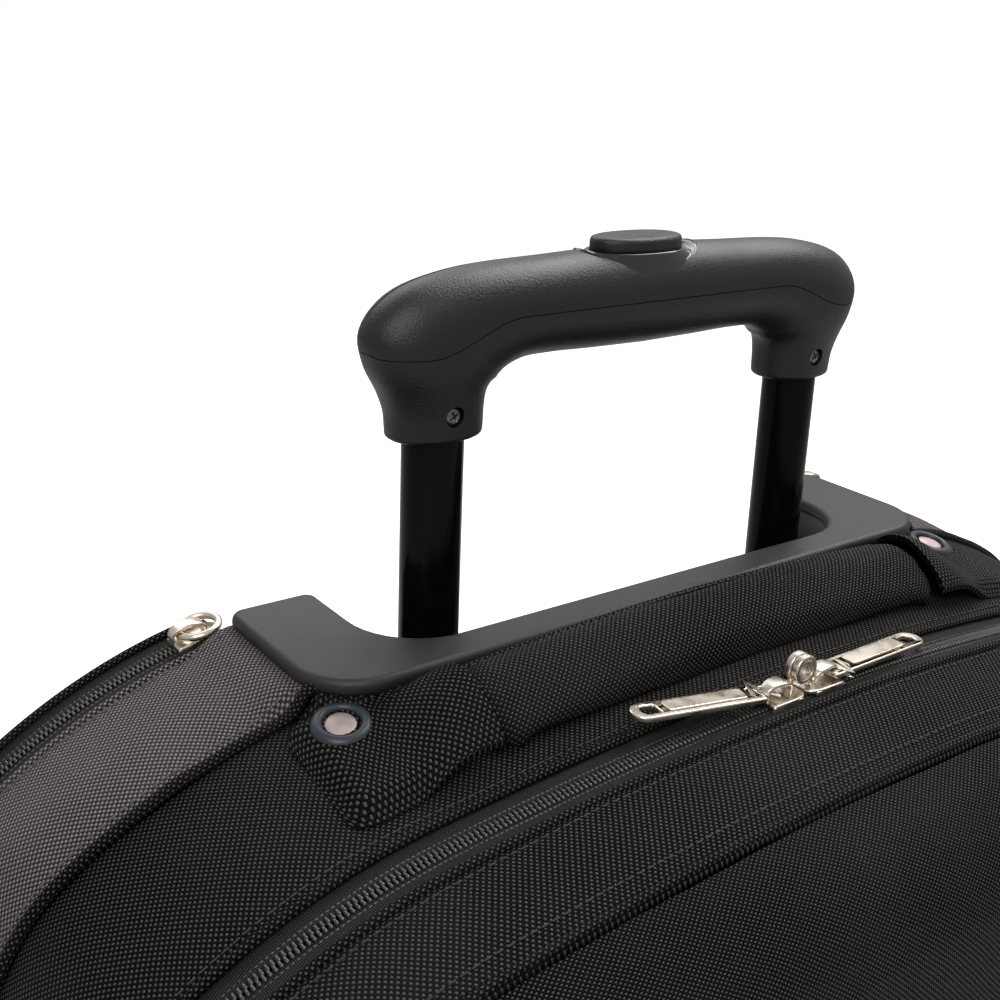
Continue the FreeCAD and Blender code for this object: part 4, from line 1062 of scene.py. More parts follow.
def beside_cap(point):
    return abs(point.x) > CAP_X + 0.5 or point.z < CAP_FOOT - 2


def make_zips():
    for name, y, side, body, base, start, node, keep in (
            ("main_zip_rear_side", ZIP_Y, 1, "case", BASE, LID_BASE, "main_zip_case", anywhere),
            ("main_zip_front_side", ZIP_Y, -1, "front_lid", LID_BASE, LID_BASE, "main_zip_lid", anywhere),
            ("rear_zip_front_side", REAR_ZIP_Y, -1, "case", BACK_BASE, BACK_BASE, "rear_zip_case", beside_cap),
            ("rear_zip_rear_side", REAR_ZIP_Y, 1, "back_lid", BACK_BASE, BACK_BASE, "rear_zip_lid", beside_cap)):
        zip_half(name, y, side, body, base, start + 8, node, keep)


# ------------------------------------------------------------------ piping and seams on the shell
def clear_of_fittings(point, which):
    """Whether a row of stitches shows at a point: it stops at the trolley cap and at the wheel housings."""
    housing = "wheel_housing_right"
    if which == "rear" and point.z < high(housing).z + 2 and abs(point.x) > low(housing).x - 2:
        return False
    return cap_gap(point.x, point.y) > 1.5 or point.z < CAP_ZONE


def make_seams():
    def shows(point):
        return cap_gap(point.x, point.y) > -1.5 or point.z < CAP_ZONE

    for k, run in enumerate(runs(cloth_line("rear", SEAM_Y + 0.5, 0.8), shows)):
        place(line_cord(f"seam_piping_{k}", run, 1.9), "case", "gusset_black")
    for which, y, body in (("rear", SEAM_Y + 5.0, "case"), ("rear", REAR_ZIP_Y - TAPE - 3.0, "case"),
                           ("main", ZIP_Y + TAPE + 3.2, "case"), ("front", ZIP_Y - TAPE - 3.2, "front_lid"),
                           ("front", LID_SEAM_Y + 4.0, "front_lid")):
        parts = runs(cloth_line(which, y, 0.12), lambda point: clear_of_fittings(point, which))
        thread, slot = (THREAD_GREY, "gusset_grey") if which == "rear" else (THREAD, "gusset_black")
        place(stitches(f"stitch_{which}_{round(abs(y))}", parts, thread), body, slot)
    for y, body, base in ((ZIP_Y + TAPE + 0.2, "case", BASE), (ZIP_Y - TAPE - 0.2, "front_lid", LID_BASE),
                          (LID_SEAM_Y - 1.0, "front_lid", LID_BASE)):
        line = [(point + out * 0.3, out) for point, out in plain_line(y, base=base)]
        place(line_cord(f"welt_{round(abs(y))}", line, 1.5, closed=True), body, "gusset_black")
    for y, body, material, slot in ((REAR_ZIP_Y - TAPE - 0.2, "case", NYLON_GREY, "gusset_grey"),
                                    (REAR_ZIP_Y + TAPE + 0.2, "back_lid", NYLON_BLACK, "gusset_black")):
        for k, run in enumerate(runs(plain_line(y, -0.2, BACK_BASE), beside_cap)):
            place(line_cord(f"rear_welt_{body}_{k}", run, 1.4, material), body, slot)


# ------------------------------------------------------------------ sliders and pulls
# how far a pull's pivot lies beyond its slider's middle, and above the tape
PIVOT_REACH, PIVOT_RISE = 4.9, 4.4


def stadium(x0, x1, half, count=10):
    """A long rounded outline lying along x."""
    turns = [math.pi * k / count - math.pi / 2 for k in range(count + 1)]
    return ([(x1 - half + half * math.cos(a), half * math.sin(a)) for a in turns]
            + [(x0 + half - half * math.cos(a), -half * math.sin(a)) for a in turns])


def plate(outlines, thick, edge, height=0.0):
    """A flat plate with holes and rounded edges, as a mesh centred on one height."""
    data = bpy.data.curves.new("plate", "CURVE")
    data.dimensions = "2D"
    data.fill_mode = "BOTH"
    data.extrude = thick / 2 - edge
    data.bevel_depth = edge
    data.bevel_resolution = 2
    data.offset = -edge
    for points in outlines:
        line = data.splines.new("POLY")
        line.points.add(len(points) - 1)
        for target, (x, y) in zip(line.points, points):
            target.co = (x, y, 0, 1)
        line.use_cyclic_u = True
    thing = bpy.data.objects.new("plate", data)
    bpy.context.scene.collection.objects.link(thing)
    graph = bpy.context.evaluated_depsgraph_get()
    mesh = bpy.data.meshes.new_from_object(thing.evaluated_get(graph))
    bpy.data.objects.remove(thing)
    return moved(mesh, (0, 0, height))


def moved(mesh, at, turn=0.0):
    """Turn a local mesh about x, then move it."""
    mesh.transform(Matrix.Translation(at) @ Matrix.Rotation(turn, 4, "X"))
    return mesh


def merge(name, meshes, matrix, body, node):
    """Join local meshes, move them by a matrix and place them as one nickel piece."""
    bm = bmesh.new()
    for mesh in meshes:
        bm.from_mesh(mesh)
        bpy.data.meshes.remove(mesh)
    bmesh.ops.remove_doubles(bm, verts=bm.verts, dist=0.001)
    bmesh.ops.transform(bm, matrix=matrix, verts=bm.verts)
    thing = from_bmesh(name, bm, NICKEL)
    modifier(thing, "WEIGHTED_NORMAL")
    place(apply_all(thing), body, "nickel", node)


def strip_mesh(path, half_wide, thick, bulge=lambda share: 1.0):
    """A flat metal strip bent along a path in the local xz plane; bulge widens it by position."""
    rings = []
    for k, (x, z) in enumerate(path):
        ax, az = path[max(k - 1, 0)]
        bx, bz = path[min(k + 1, len(path) - 1)]
        forward = Vector((bx - ax, 0, bz - az)).normalized()
        normal = Vector((-forward.z, 0, forward.x))
        half, flat, edge = half_wide * bulge(k / (len(path) - 1)), thick / 2, thick * 0.28
        section = [(-half, -flat + edge), (-half + edge, -flat), (half - edge, -flat), (half, -flat + edge),
                   (half, flat - edge), (half - edge, flat), (-half + edge, flat), (-half, flat - edge)]
        rings.append([Vector((x, a, z)) + normal * b for a, b in section])
    bm = bmesh.new()
    skin_rings(bm, rings)
    return mesh_of("strip", bm)


def curve(points, steps=6):
    """A smooth path through a few points."""
    places = [min(k / steps, len(points) - 1.0001) for k in range((len(points) - 1) * steps + 1)]
    return [tuple(spline([p[c] for p in points], at) for c in (0, 1)) for at in places]


def slider_meshes(eye):
    """Local meshes of one slider: x to the pull, z away from the tape; eye is a padlock eye's side, or 0."""
    half = 7.5
    plan = [(-half, -2.6), (-half + 2, -4.4), (-1.5, -5.0), (half - 1.0, -5.0), (half, -4.2), (half, 4.2),
            (half - 1.0, 5.0), (-1.5, 5.0), (-half + 2, 4.4), (-half, 2.6)]
    meshes = [plate([plan], 1.4, 0.45, 1.7), plate([plan], 1.0, 0.3, -3.9)]
    for side in (-1, 1):
        flange = plate([rounded_box(half - 4.6, half, -0.55, 0.55, 0.4)], 2.6, 0.3)
        rail = plate([rounded_box(-half + 2.5, half - 4.8, -0.4, 0.4, 0.3)], 1.5, 0.25)
        meshes += [moved(flange, (0, side * 4.5, 0.6)), moved(rail, (0, side * 4.5, 1.2))]
    meshes.append(moved(plate([rounded_box(-3, 3, -0.5, 0.5, 0.3)], 5.4, 0.15), (0, 0, -1.2)))
    arch = curve([(-3.2, 2.2), (-3.0, 4.4), (-1.4, 6.2), (1.6, 6.9), (5.0, 6.7), (7.0, 5.4), (7.2, 3.4),
                  (6.6, 2.0)])
    meshes.append(strip_mesh(arch, 2.0, 1.25,
                             lambda t: 0.85 + 0.5 * math.sin(math.pi * min(t * 1.3, 1.0)) ** 2))
    if eye:
        lug = plate([circle(4.6, 40), circle(3.0, 32)], 2.3, 0.45)
        meshes.append(moved(lug, (-8.0, eye * 1.3, 9.0), math.pi / 2))
        for turn in range(3):
            thread = plate([circle(3.05, 32), circle(2.65, 32)], 0.4, 0.12)
            meshes.append(moved(thread, (-8.0, eye * (0.55 + turn * 0.75), 9.0), math.pi / 2))
        stalk = curve([(-3.4, 2.2), (-4.6, 3.4), (-5.4, 5.4), (-6.4, 7.0)], 4)
        meshes.append(moved(strip_mesh(stalk, 1.1, 1.6), (0, eye * 1.3, 0)))
    return meshes


def pull_meshes(long):
    """Local meshes of one pull tab: pivot at the origin, tab along x."""
    half = 4.5
    root = [(-1.3, -half + 0.9), (-0.4, -half)]
    tip = [(x, y) for x, y in stadium(-0.4, long, half) if x > 3]
    body = root + tip + [(x, -y) for x, y in reversed(root)]
    slot = rounded_box(1.4, 7.6, -2.5, 2.5, 1.2)
    eye = [(long - x, y) for x, y in rounded_path([(8.8, -2.2, 0.7), (3.8, -2.5, 1.6), (3.2, 0, 1.2),
                                                   (3.8, 2.5, 1.6), (8.8, 2.2, 0.7)], 4)]
    meshes = [plate([body, slot, eye], 1.8, 0.5)]
    for way in (1, -1):
        meshes.append(plate([rounded_box(9.5, long - 11.0, -2.9, 2.9, 1.4)], 0.7, 0.3, way * 1.05))
    return meshes


def ring_mesh(radius, wire, centre):
    """A local mesh of a round wire ring lying flat."""
    bm = bmesh.new()
    around, sides = 48, 12
    rows = []
    for a in angles(around):
        out = Vector((math.cos(a), math.sin(a), 0))
        middle = Vector(centre) + out * radius
        rows.append([bm.verts.new(middle + (out * math.cos(b) + Vector((0, 0, 1)) * math.sin(b)) * wire)
                     for b in angles(sides)])
    for row, after in zip(rows, rows[1:] + rows[:1]):
        for m in range(sides):
            bm.faces.new((row[m], after[m], after[(m + 1) % sides], row[(m + 1) % sides]))
    return mesh_of("ring", bm)


def frame_at(where, across, out):
    """A matrix whose x runs across, z runs out, with its origin at where."""
    x, z = Vector(across).normalized(), Vector(out).normalized()
    y = z.cross(x)
    return Matrix.Translation(where) @ Matrix((x, y, z)).transposed().to_4x4()


def pivot_of(name):
    return Vector(joint(name)["pos_m"]) / MM


def make_sliders():
    surface = pivot_of("tab_right_flip").z - PIVOT_RISE
    for side, word in ((1, "right"), (-1, "left")):
        pivot = pivot_of(f"tab_{word}_flip")
        origin = Vector((pivot.x - side * PIVOT_REACH, ZIP_Y, surface))
        merge(f"main_slider_{word}_metal", slider_meshes(-1), frame_at(origin, (side, 0, 0), (0, 0, 1)),
              f"zip_{word}", f"main_slider_{word}")
        long = abs((high if side > 0 else low)(f"main_pull_{word}").x - pivot.x)
        # each pull lies a little askew
        swing, dip = (math.radians(angle) for angle in ((4.0, 3.0) if side > 0 else (10.0, -3.0)))
        along = Vector((side * math.cos(swing), math.sin(swing), -math.sin(dip)))
        out = Vector((side * math.sin(dip), 0, math.cos(dip)))
        merge(f"main_pull_{word}_metal", pull_meshes(long), frame_at(pivot, along, out), f"tab_{word}",
              f"main_pull_{word}")
        ring_pivot = pivot_of(f"ring_{word}_flip")
        radial = Vector((ring_pivot.x - side * SHOULDER_X, 0, ring_pivot.z - SHOULDER_Z)).normalized()
        lean = math.atan2(radial.x, radial.z) - side * PIVOT_REACH / SHOULDER_R
        out = Vector((math.sin(lean), 0, math.cos(lean)))
        along = Vector((side * math.cos(lean), 0, -side * math.sin(lean)))
        origin = ring_pivot - along * PIVOT_REACH - out * PIVOT_RISE
        merge(f"rear_slider_{word}_metal", slider_meshes(0), frame_at(origin, along, out), f"side_zip_{word}",
              f"rear_slider_{word}")
        merge(f"rear_ring_{word}_metal", [ring_mesh(6.4, 1.25, (-6.4, 0, 0))], frame_at(ring_pivot, along, out),
              f"ring_{word}", f"rear_pull_{word}")
    pivot = pivot_of("pocket_tab_flip")
    origin = pivot - Vector((PIVOT_REACH, -PIVOT_RISE, 0))
    merge("pocket_slider_metal", slider_meshes(0), frame_at(origin, (1, 0, 0), (0, -1, 0)), "pocket_runner",
          "pocket_slider")
    merge("pocket_pull_metal", pull_meshes(long), frame_at(pivot, (1, 0, 0), (0, -1, 0)), "pocket_tab",
          "pocket_pull")


# ------------------------------------------------------------------ carry handle
PAD_X = high("carry_handle").x
PAD_TOP = high("carry_handle").z
# The pad's section from its rear foot over the crest to its front foot: (depth, height under the crest)
PAD_SECTION = [(16.2, -12.5), (17.2, -9.6), (16.6, -6.4), (14.2, -3.8), (10.4, -2.0), (5.6, -1.5), (0.4, -3.4),
               (-5.4, -7.2), (-10.2, -11.6), (-12.6, -15.4), (-12.4, -18.0), (-9.0, -18.6), (-2.0, -15.6),
               (6.0, -13.4), (12.0, -13.0)]
# creases across the pad: (x, depth)
PAD_CREASES = [(6.0, 1.3), (32.0, 1.1), (-44.0, 0.7), (70.0, 0.8)]


def pad_fall(x):
    """How far the pad's crest falls towards its ends."""
    return 0.95 * (CROWN_R - math.sqrt(CROWN_R ** 2 - x * x))


def pad_section(x):
    """The carry pad's section at one x, rounded off towards its ends."""
    share = min(abs(x) / (PAD_X + 2), 1.0)
    shrink = math.sqrt(max(1 - max((share - 0.93) / 0.07, 0.0) ** 2 * 0.55, 0.0))
    cy, cz = 4.0, -9.0
    top = PAD_TOP - pad_fall(x)
    count = len(PAD_SECTION)
    points = []
    for at in (k / 3 for k in range(count * 3)):
        window = [PAD_SECTION[(int(at) + m) % count] for m in (-1, 0, 1, 2)]
        y, z = (spline([item[c] for item in window], 1 + at - int(at)) for c in (0, 1))
        points.append(Vector((x, cy + (y - cy) * shrink, top + cz + (z - cz) * shrink)))
    return points


def inflate(thing, pressure, cap, voxel=4.0):
    """Swell a closed form with the cloth solver, never further than cap, and keep the result."""
    frames = 20
    modifier(thing, "REMESH", mode="VOXEL", voxel_size=voxel * MM)
    apply_all(thing)
    start = [vert.co.copy() for vert in thing.data.vertices]
    cloth = modifier(thing, "CLOTH")
    cloth.settings.quality = 5
    cloth.settings.use_pressure = True
    cloth.settings.uniform_pressure_force = pressure
    cloth.settings.effector_weights.gravity = 0.0
    scene = bpy.context.scene
    for number in range(1, frames + 1):
        scene.frame_set(number)
    apply_all(thing)
    for vert, before in zip(thing.data.vertices, start):
        shift = vert.co - before
        if shift.length > cap * MM:
            vert.co = before + shift.normalized() * cap * MM
    scene.frame_set(1)


def lay_cloth(thing, place_of):
    """Give a finished piece cloth coordinates in millimetres: place_of(point, normal) gives (u, v)."""
    mesh = thing.data
    layer = mesh.uv_layers.get("cloth") or mesh.uv_layers.new(name="cloth")
    for polygon in mesh.polygons:
        for index in polygon.loop_indices:
            vert = mesh.vertices[mesh.loops[index].vertex_index]
            layer.data[index].uv = place_of(vert.co / MM, polygon.normal)
        polygon.use_smooth = True
    return thing


def nearest_on(section, y, z):
    """Length along a closed section to the point nearest (y, z)."""
    best, found, length = 1e9, 0.0, 0.0
    for a, b in zip(section, section[1:] + section[:1]):
        dy, dz = b.y - a.y, b.z - a.z
        span = math.hypot(dy, dz) or 1e-6
        t = min(max(((y - a.y) * dy + (z - a.z) * dz) / span ** 2, 0.0), 1.0)
        gap = (y - a.y - dy * t) ** 2 + (z - a.z - dz * t) ** 2
        if gap < best:
            best, found = gap, length + span * t
        length += span
    return found


def make_pad():
    reach = PAD_X + 1.5
    rows = [pad_section(-reach + 2 * reach * k / 64) for k in range(65)]
    pad = close_ends(from_grid("carry_pad_cloth", rows, NYLON_BLACK, around=True))
    inflate(pad, 3.0, 1.6)
    for vert in pad.data.vertices:
        x, y, z = vert.co / MM
        crease = sum(deep * math.exp(-((x - where - 0.25 * (y + 5)) / 2.6) ** 2) for where, deep in PAD_CREASES)
        if y < 8:
            vert.co.z -= crease * 0.55 * MM
            vert.co.y += crease * 0.55 * MM
        vert.co.z += 0.35 * MM * wave(x * 0.045, y * 0.08, z * 0.05, 14)
    modifier(pad, "SUBSURF", levels=1, render_levels=1)
    apply_all(pad)
    middle = pad_section(0.0)
    lay_cloth(pad, lambda p, n: (p.x, nearest_on(middle, p.y, p.z + pad_fall(p.x))))
    place(pad, "handle_pad", "gusset_black", "carry_handle")
    rim = []
    for k in range(61):
        x = -PAD_X + 4 + (2 * PAD_X - 8) * k / 60
        rim.append((Vector((x, 16.2, PAD_TOP - pad_fall(x) - 5.0)), Vector((0, 0.75, 0.65)).normalized()))
    place(line_cord("carry_pad_welt", rim, 1.2), "handle_pad", "gusset_black")
    seam = [(point + Vector((0, -2.2, 1.6)), Vector((0, 0.3, 0.95))) for point, _ in rim]
    place(stitches("carry_pad_stitch", [seam], THREAD, 3.0, 1.1), "handle_pad", "gusset_black")


def pad_height(y):
    """Height of the pad's upper skin near its ends, at one depth."""
    section = pad_section(PAD_X - 6)
    found = [a.z + (b.z - a.z) * ((y - a.y) / ((b.y - a.y) or 1e-6)) for a, b in zip(section, section[1:])
             if a.z > section[0].z - 9 and min(a.y, b.y) <= y <= max(a.y, b.y)]
    return max(found, default=section[0].z)


def strap_point(side, u, v):
    """The strap's upper skin: u from the pad's end out to the rivet, v from front to back."""
    inner, outer = PAD_X + 1.0, RIVET_X + 13.0
    x = inner + (outer - inner) * u
    front = low("handle_strap_right").y + 0.8
    back = RIVET_Y - 1.0 + 9.5 * smooth(0.05, 0.6, u)
    tip = 1 - 0.22 * (1 - math.sqrt(max(1 - max((u - 0.82) / 0.18, 0) ** 2, 0.0)))
    middle = (front + back) / 2
    y = middle + (back - middle) * (2 * v - 1) * tip
    sink = max(smooth(0.86, 1.0, u), 1 - smooth(0.0, 0.14, v), 0.6 * smooth(0.9, 1.0, v) * smooth(0.5, 0.8, u))
    ground = on_shell(x, y) + 3.4 - 3.6 * sink * smooth(0.25, 0.6, u)
    folded = min(pad_height(min(max(y, -12.0), 17.2)), PAD_TOP) + 0.8
    share = smooth(0.0, 0.62, u) ** 0.8
    z = folded + (ground - folded) * share + 0.8 * math.sin(math.pi * share)
    return Vector((side * x, y, z + 0.25 * wave(x * 0.08, y * 0.08, 0, 21)))


def make_straps():
    across, along, steps = 30, 26, 40
    up = Vector((0, 0, 1))
    for side, word in ((1, "right"), (-1, "left")):
        rows = [[strap_point(side, j / across, i / along) for i in range(along + 1)] for j in range(across + 1)]
        strap = from_grid(f"strap_{word}_cloth", rows, NYLON_BLACK,
                          uvs=lambda j, i: (j / across * 46.0, i / along * 30.0))
        thicken(strap, 2.0 if side > 0 else -2.0)
        apply_all(soften(strap, 0.6, 3, 50))
        lines = [[(strap_point(side, j / steps, v) + up * 0.15, up) for j in range(1, 33)] for v in (0.09, 0.91)]
        lines.append([(strap_point(side, 0.05, i / steps) + up * 0.15, up) for i in range(3, 38)])
        thread = stitches(f"strap_{word}_stitch", lines, THREAD_GREY, 3.0, 1.05, 0.33)
        start, end = ((side * x * MM, 0, 0) for x in (RIVET_X - 8, PAD_X + 4))
        for piece in (strap, thread):
            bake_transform(piece)
            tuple(start)
            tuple(end)
        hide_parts(f"handle_strap_{word}")
        foot = Vector((side * RIVET_X, RIVET_Y, on_shell(RIVET_X, RIVET_Y) + 3.9))
        axis = Vector((side * 0.11, -0.19, 0.975))
        dome = [(5.3, 0.3), (5.3, 1.6), (5.7, 2.3), (6.4, 2.6), (7.4, 2.4), (8.3, 1.7), (8.7, 0.8), (8.7, -0.4)]
        ring = lathe(f"rivet_ring_{word}", dome, foot, axis, RING_PLASTIC)
        place(ring, "case", "ring_plastic", "rivet_rings")
        disc = [(0.01, 1.75), (2.6, 1.7), (4.2, 1.5), (4.9, 1.1), (5.2, 0.5), (5.3, -0.5)]
        cap = lathe(f"rivet_cap_{word}", disc, foot, axis, RIVET_METAL)
        place(cap, "case", "rivet_metal", "rivet_caps")


# ------------------------------------------------------------------ base, wheels and feet
# CAD nodes whose shape is right: their material and the width of their rounded edges
KEPT_NODES = {"bottom_tray": (BASE_PLASTIC, 0.8), "wheel_housing_right": (BASE_PLASTIC, 0.9),
              "wheel_housing_left": (BASE_PLASTIC, 0.9), "axle_right": (STEEL, 0.5), "axle_left": (STEEL, 0.5),
              "tube_foot": (BASE_PLASTIC, 0.8), "divider_board": (BOARD, 0.5),
              "tube_bushes": (BASE_PLASTIC, 0.2), "mid_bushes": (BASE_PLASTIC, 0.2), "mid_plugs": (BASE_PLASTIC, 0.2),
              "inner_plugs": (BASE_PLASTIC, 0.2), "lock_pin_right": (STEEL, 0.2), "lock_pin_left": (STEEL, 0.2),
              "push_yoke": (BASE_PLASTIC, 0.3), "button_spring": (STEEL, 0.0)}


def make_base():
    for node, (material, width) in KEPT_NODES.items():
        thing = frame["nodes"][node]
        thing.data.materials.clear()
        thing.data.materials.append(material)
        if width:
            soften(thing, width)
        for polygon in thing.data.polygons:
            polygon.use_smooth = True
    # the spring's lower end and length are read, and it gets a mesh of its own
    foot = low("button_spring").z
    length = high("button_spring").z - foot
    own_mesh(frame["nodes"]["button_spring"])


def make_kick_plate():
    a, b = low("kick_plate"), high("kick_plate")
    path = rounded_path([(a.x, a.y, 1), (b.x, a.y, 1), (b.x, b.y, 3), (a.x, b.y, 3)], 4)
    shell = prism("kick_plate_shell", path, a.z, b.z, BASE_PLASTIC)
    place(apply_all(soften(shell, 1.6, 4)), "case", "base_plastic", "kick_plate")
    for k in range(5):
        z = a.z + 12 + k * (b.z - a.z - 24) / 4
        start, stop = Vector((a.x + 14, b.y + 0.2, z)), Vector((b.x - 14, b.y + 0.2, z))
        rib = cord(f"kick_rib_{k}", [start.lerp(stop, t / 30) for t in range(31)], 2.2, BASE_PLASTIC, squash=0.8)
        place(rib, "case", "base_plastic")


def make_feet():
    a, b = low("front_feet"), high("front_feet")
    radius = 13.0
    profile = [(0.01, 0), (6.0, 0), (8.6, 0.3), (9.8, 1.4), (10.2, 3.0), (11.4, 7.0), (12.4, 8.0), (radius, 9.4),
               (radius, b.z - 2), (radius - 0.6, b.z), (0.01, b.z)]
    for side, word in ((1, "right"), (-1, "left")):
        centre = (side * (b.x - radius), (a.y + b.y) / 2, 0)
        place(lathe(f"foot_{word}", profile, centre, (0, 0, 1), RUBBER, 72), "case", "rubber", "front_feet")


# one half of a hub's section: (radius, along the axle)
HUB_SECTION = [(24.9, 10.6), (24.2, 11.0), (22.8, 11.0), (22.0, 10.4), (21.4, 6.0), (20.4, 5.2), (10.4, 4.0),
               (9.4, 4.6), (9.0, 12.2), (8.4, 12.8), (4.6, 12.8), (4.1, 12.3)]


def tyre_profile(radius, half):
    """A crowned tread with two grooves, between two side walls."""
    tread = []
    for k in range(1, 24):
        t = -1 + k / 12
        crown = 1 - 0.13 * abs(t) ** 6 - 0.02 * t * t
        groove = 1.0 if abs(abs(t * half) - 5.0) < 0.9 else 0.0
        tread.append((25.3 + (radius - 25.3) * crown - groove, t * half))
    return [(25.0, -half + 1.2), (27.4, -half)] + tread + [(27.4, half), (25.0, half - 1.2)]


def make_wheels():
    axle = Vector((1, 0, 0))
    for word in ("right", "left"):
        body = f"wheel_{word}"
        a, b = low(f"wheel_tyre_{word}"), high(f"wheel_tyre_{word}")
        centre = (a + b) / 2
        radius, half = (b.z - a.z) / 2, (b.x - a.x) / 2
        tyre = lathe(f"tyre_{word}", tyre_profile(radius, half), centre, axle, RUBBER, 128)
        place(tyre, body, "tread", f"wheel_tyre_{word}")
        bm = bmesh.new()
        for angle in angles(60):
            out = Vector((0, math.cos(angle), math.sin(angle)))
            bar(bm, centre + out * (radius - 0.75), axle, out, 3.6, 0.9, 0.55)
        place(from_bmesh(f"tread_{word}", bm, RUBBER), body, "tread")
        rim = [(24.9, -10.6)] + HUB_SECTION + [(r, -x) for r, x in reversed(HUB_SECTION)]
        hub = lathe(f"hub_{word}", rim, centre, axle, HUB_PLASTIC, 96)
        place(apply_all(soften(hub, 0.3, 2, 30)), body, "hub_plastic", f"wheel_hub_{word}")
        bm = bmesh.new()
        for angle in angles(5):
            out = Vector((0, math.cos(angle), math.sin(angle)))
            for face in (-1, 1):
                bar(bm, centre + out * 15.4 + axle * face * 5.2, out, axle * face, 6.6, 2.2, 2.0, 10)
        place(from_bmesh(f"spokes_{word}", bm, HUB_PLASTIC), body, "hub_plastic")


# ------------------------------------------------------------------ front pocket and its zip
def pillow(name, start, stop, radius, bulge, material, seed, cap=4.0):
    """A stuffed flat form facing -Y: rounded corners, soft edges, swollen by the cloth solver."""
    corners = rounded_box(start.x, stop.x, start.z, stop.z, radius, 8)
    centre = Vector(((start.x + stop.x) / 2, (start.z + stop.z) / 2))
    rows = []
    for inset, depth in ((0.0, stop.y), (0.0, start.y + bulge), (0.8, start.y + bulge * 0.55),
                         (2.6, start.y + bulge * 0.22), (6.0, start.y + bulge * 0.06), (11.0, start.y)):
        away = [Vector([math.copysign(max(abs(d) - inset, 0), d) for d in (p.x - centre.x, p.y - centre.y)])
                for p in corners]
        rows.append([Vector((centre.x + p.x, depth, centre.y + p.y)) for p in away])
    edge_row = rows[-1]
    for k in range(1, 9):
        share = (1 - k / 8) * 0.985 + 0.015
        rows.append([Vector((centre.x + (p.x - centre.x) * share, start.y, centre.y + (p.z - centre.y) * share))
                     for p in edge_row])
    form = close_ends(from_grid(name, rows, material, around=True))
    inflate(form, 4.0, cap, voxel=5.0)
    for vert in form.data.vertices:
        x, y, z = vert.co / MM
        soft = smooth(-2, 26, min(stop.x - abs(x), z - start.z, stop.z - z))
        ripple = 0.9 * wave(x * 0.02, 0, z * 0.02, seed) + 0.35 * wave(x * 0.06, 0, z * 0.06, seed)
        vert.co.y = min(max(y + ripple * soft, start.y - 3.5), stop.y) * MM
    modifier(form, "SUBSURF", levels=1, render_levels=1)
    apply_all(form)
    return lay_cloth(form, lambda p, n: (p.x + (p.y if abs(n.x) > 0.7 else 0),
                                         p.z + (p.y if abs(n.z) > 0.7 else 0)))


def frame_line(start, stop, radius, y, inset):
    """A closed rounded line on a plane that faces the front."""
    path = rounded_box(start.x + inset, stop.x - inset, start.z + inset, stop.z - inset, radius, 8)
    dense = []
    for a, b in zip(path, path[1:] + path[:1]):
        steps = max(int((b - a).length / 8), 1)
        dense += [a.lerp(b, k / steps) for k in range(steps)]
    return [(Vector((p.x, y, p.y)), Vector((0, -1, 0))) for p in dense]


def make_pocket():
    a, b = low("front_pocket"), high("front_pocket")
    pocket = pillow("front_pocket_cloth", a + Vector((0.5, 3.0, 0.5)), b - Vector((0.5, 0, 0.5)), 13.0, 12.0,
                    NYLON_BLACK, 31.0)
    place(pocket, "front_lid", "gusset_black", "front_pocket")
    piping = line_cord("pocket_piping", frame_line(a, b, 14.0, b.y - 1.4, -0.4), 1.7, closed=True)
    place(piping, "front_lid", "gusset_black")
    line = frame_line(a, b, 14.0, FRONT_Y - 0.9, -5.0)
    place(stitches("pocket_stitch", [line + line[:1]], THREAD), "front_lid", "gusset_black")
    z = (low("pocket_zip").z + high("pocket_zip").z) / 2
    y = low("pocket_zip").y
    reach = high("pocket_zip").x
    for side, word in ((1, "upper"), (-1, "lower")):
        rows = [[Vector((-reach + 2 * reach * k / 64, y + 0.2 - 0.4 * math.sin(math.pi * m / 5),
                         z + side * (0.8 + 9.0 * m / 5))) for m in range(6)] for k in range(65)]
        tape = from_grid(f"pocket_tape_{word}", rows, TAPE_CLOTH, uvs=lambda j, i: (j * 2 * reach / 64, i * 1.8))
        thicken(tape, 0.9 if side > 0 else -0.9)
        place(tape, "front_lid", "zip_tape", "pocket_zip")
        line = [(Vector((-reach + 4 + (2 * reach - 8) * k / 80, y, z)), Vector((0, -1, 0))) for k in range(81)]
        coil = teeth(f"pocket_coil_{word}", line, side, Vector((0, 0, side)), 0.0, 0.6, 0.78)
        place(coil, "front_lid", "zip_tape")
        edge = [(point + Vector((0, -0.2, side * 3.4)), out) for point, out in line]
        place(zip_thread(f"pocket_thread_{word}", edge), "front_lid", "zip_tape")
    rim = frame_line(Vector((-reach - 1, 0, z - 10.5)), Vector((reach + 1, 0, z + 10.5)), 3.0, y - 0.3, 0.0)
    place(line_cord("pocket_zip_welt", rim, 1.5, closed=True), "front_lid", "gusset_black")


# ------------------------------------------------------------------ inside the case
# the free room for a laptop, in depth
ROOM_FRONT, ROOM_BACK = -10.0, 28.0


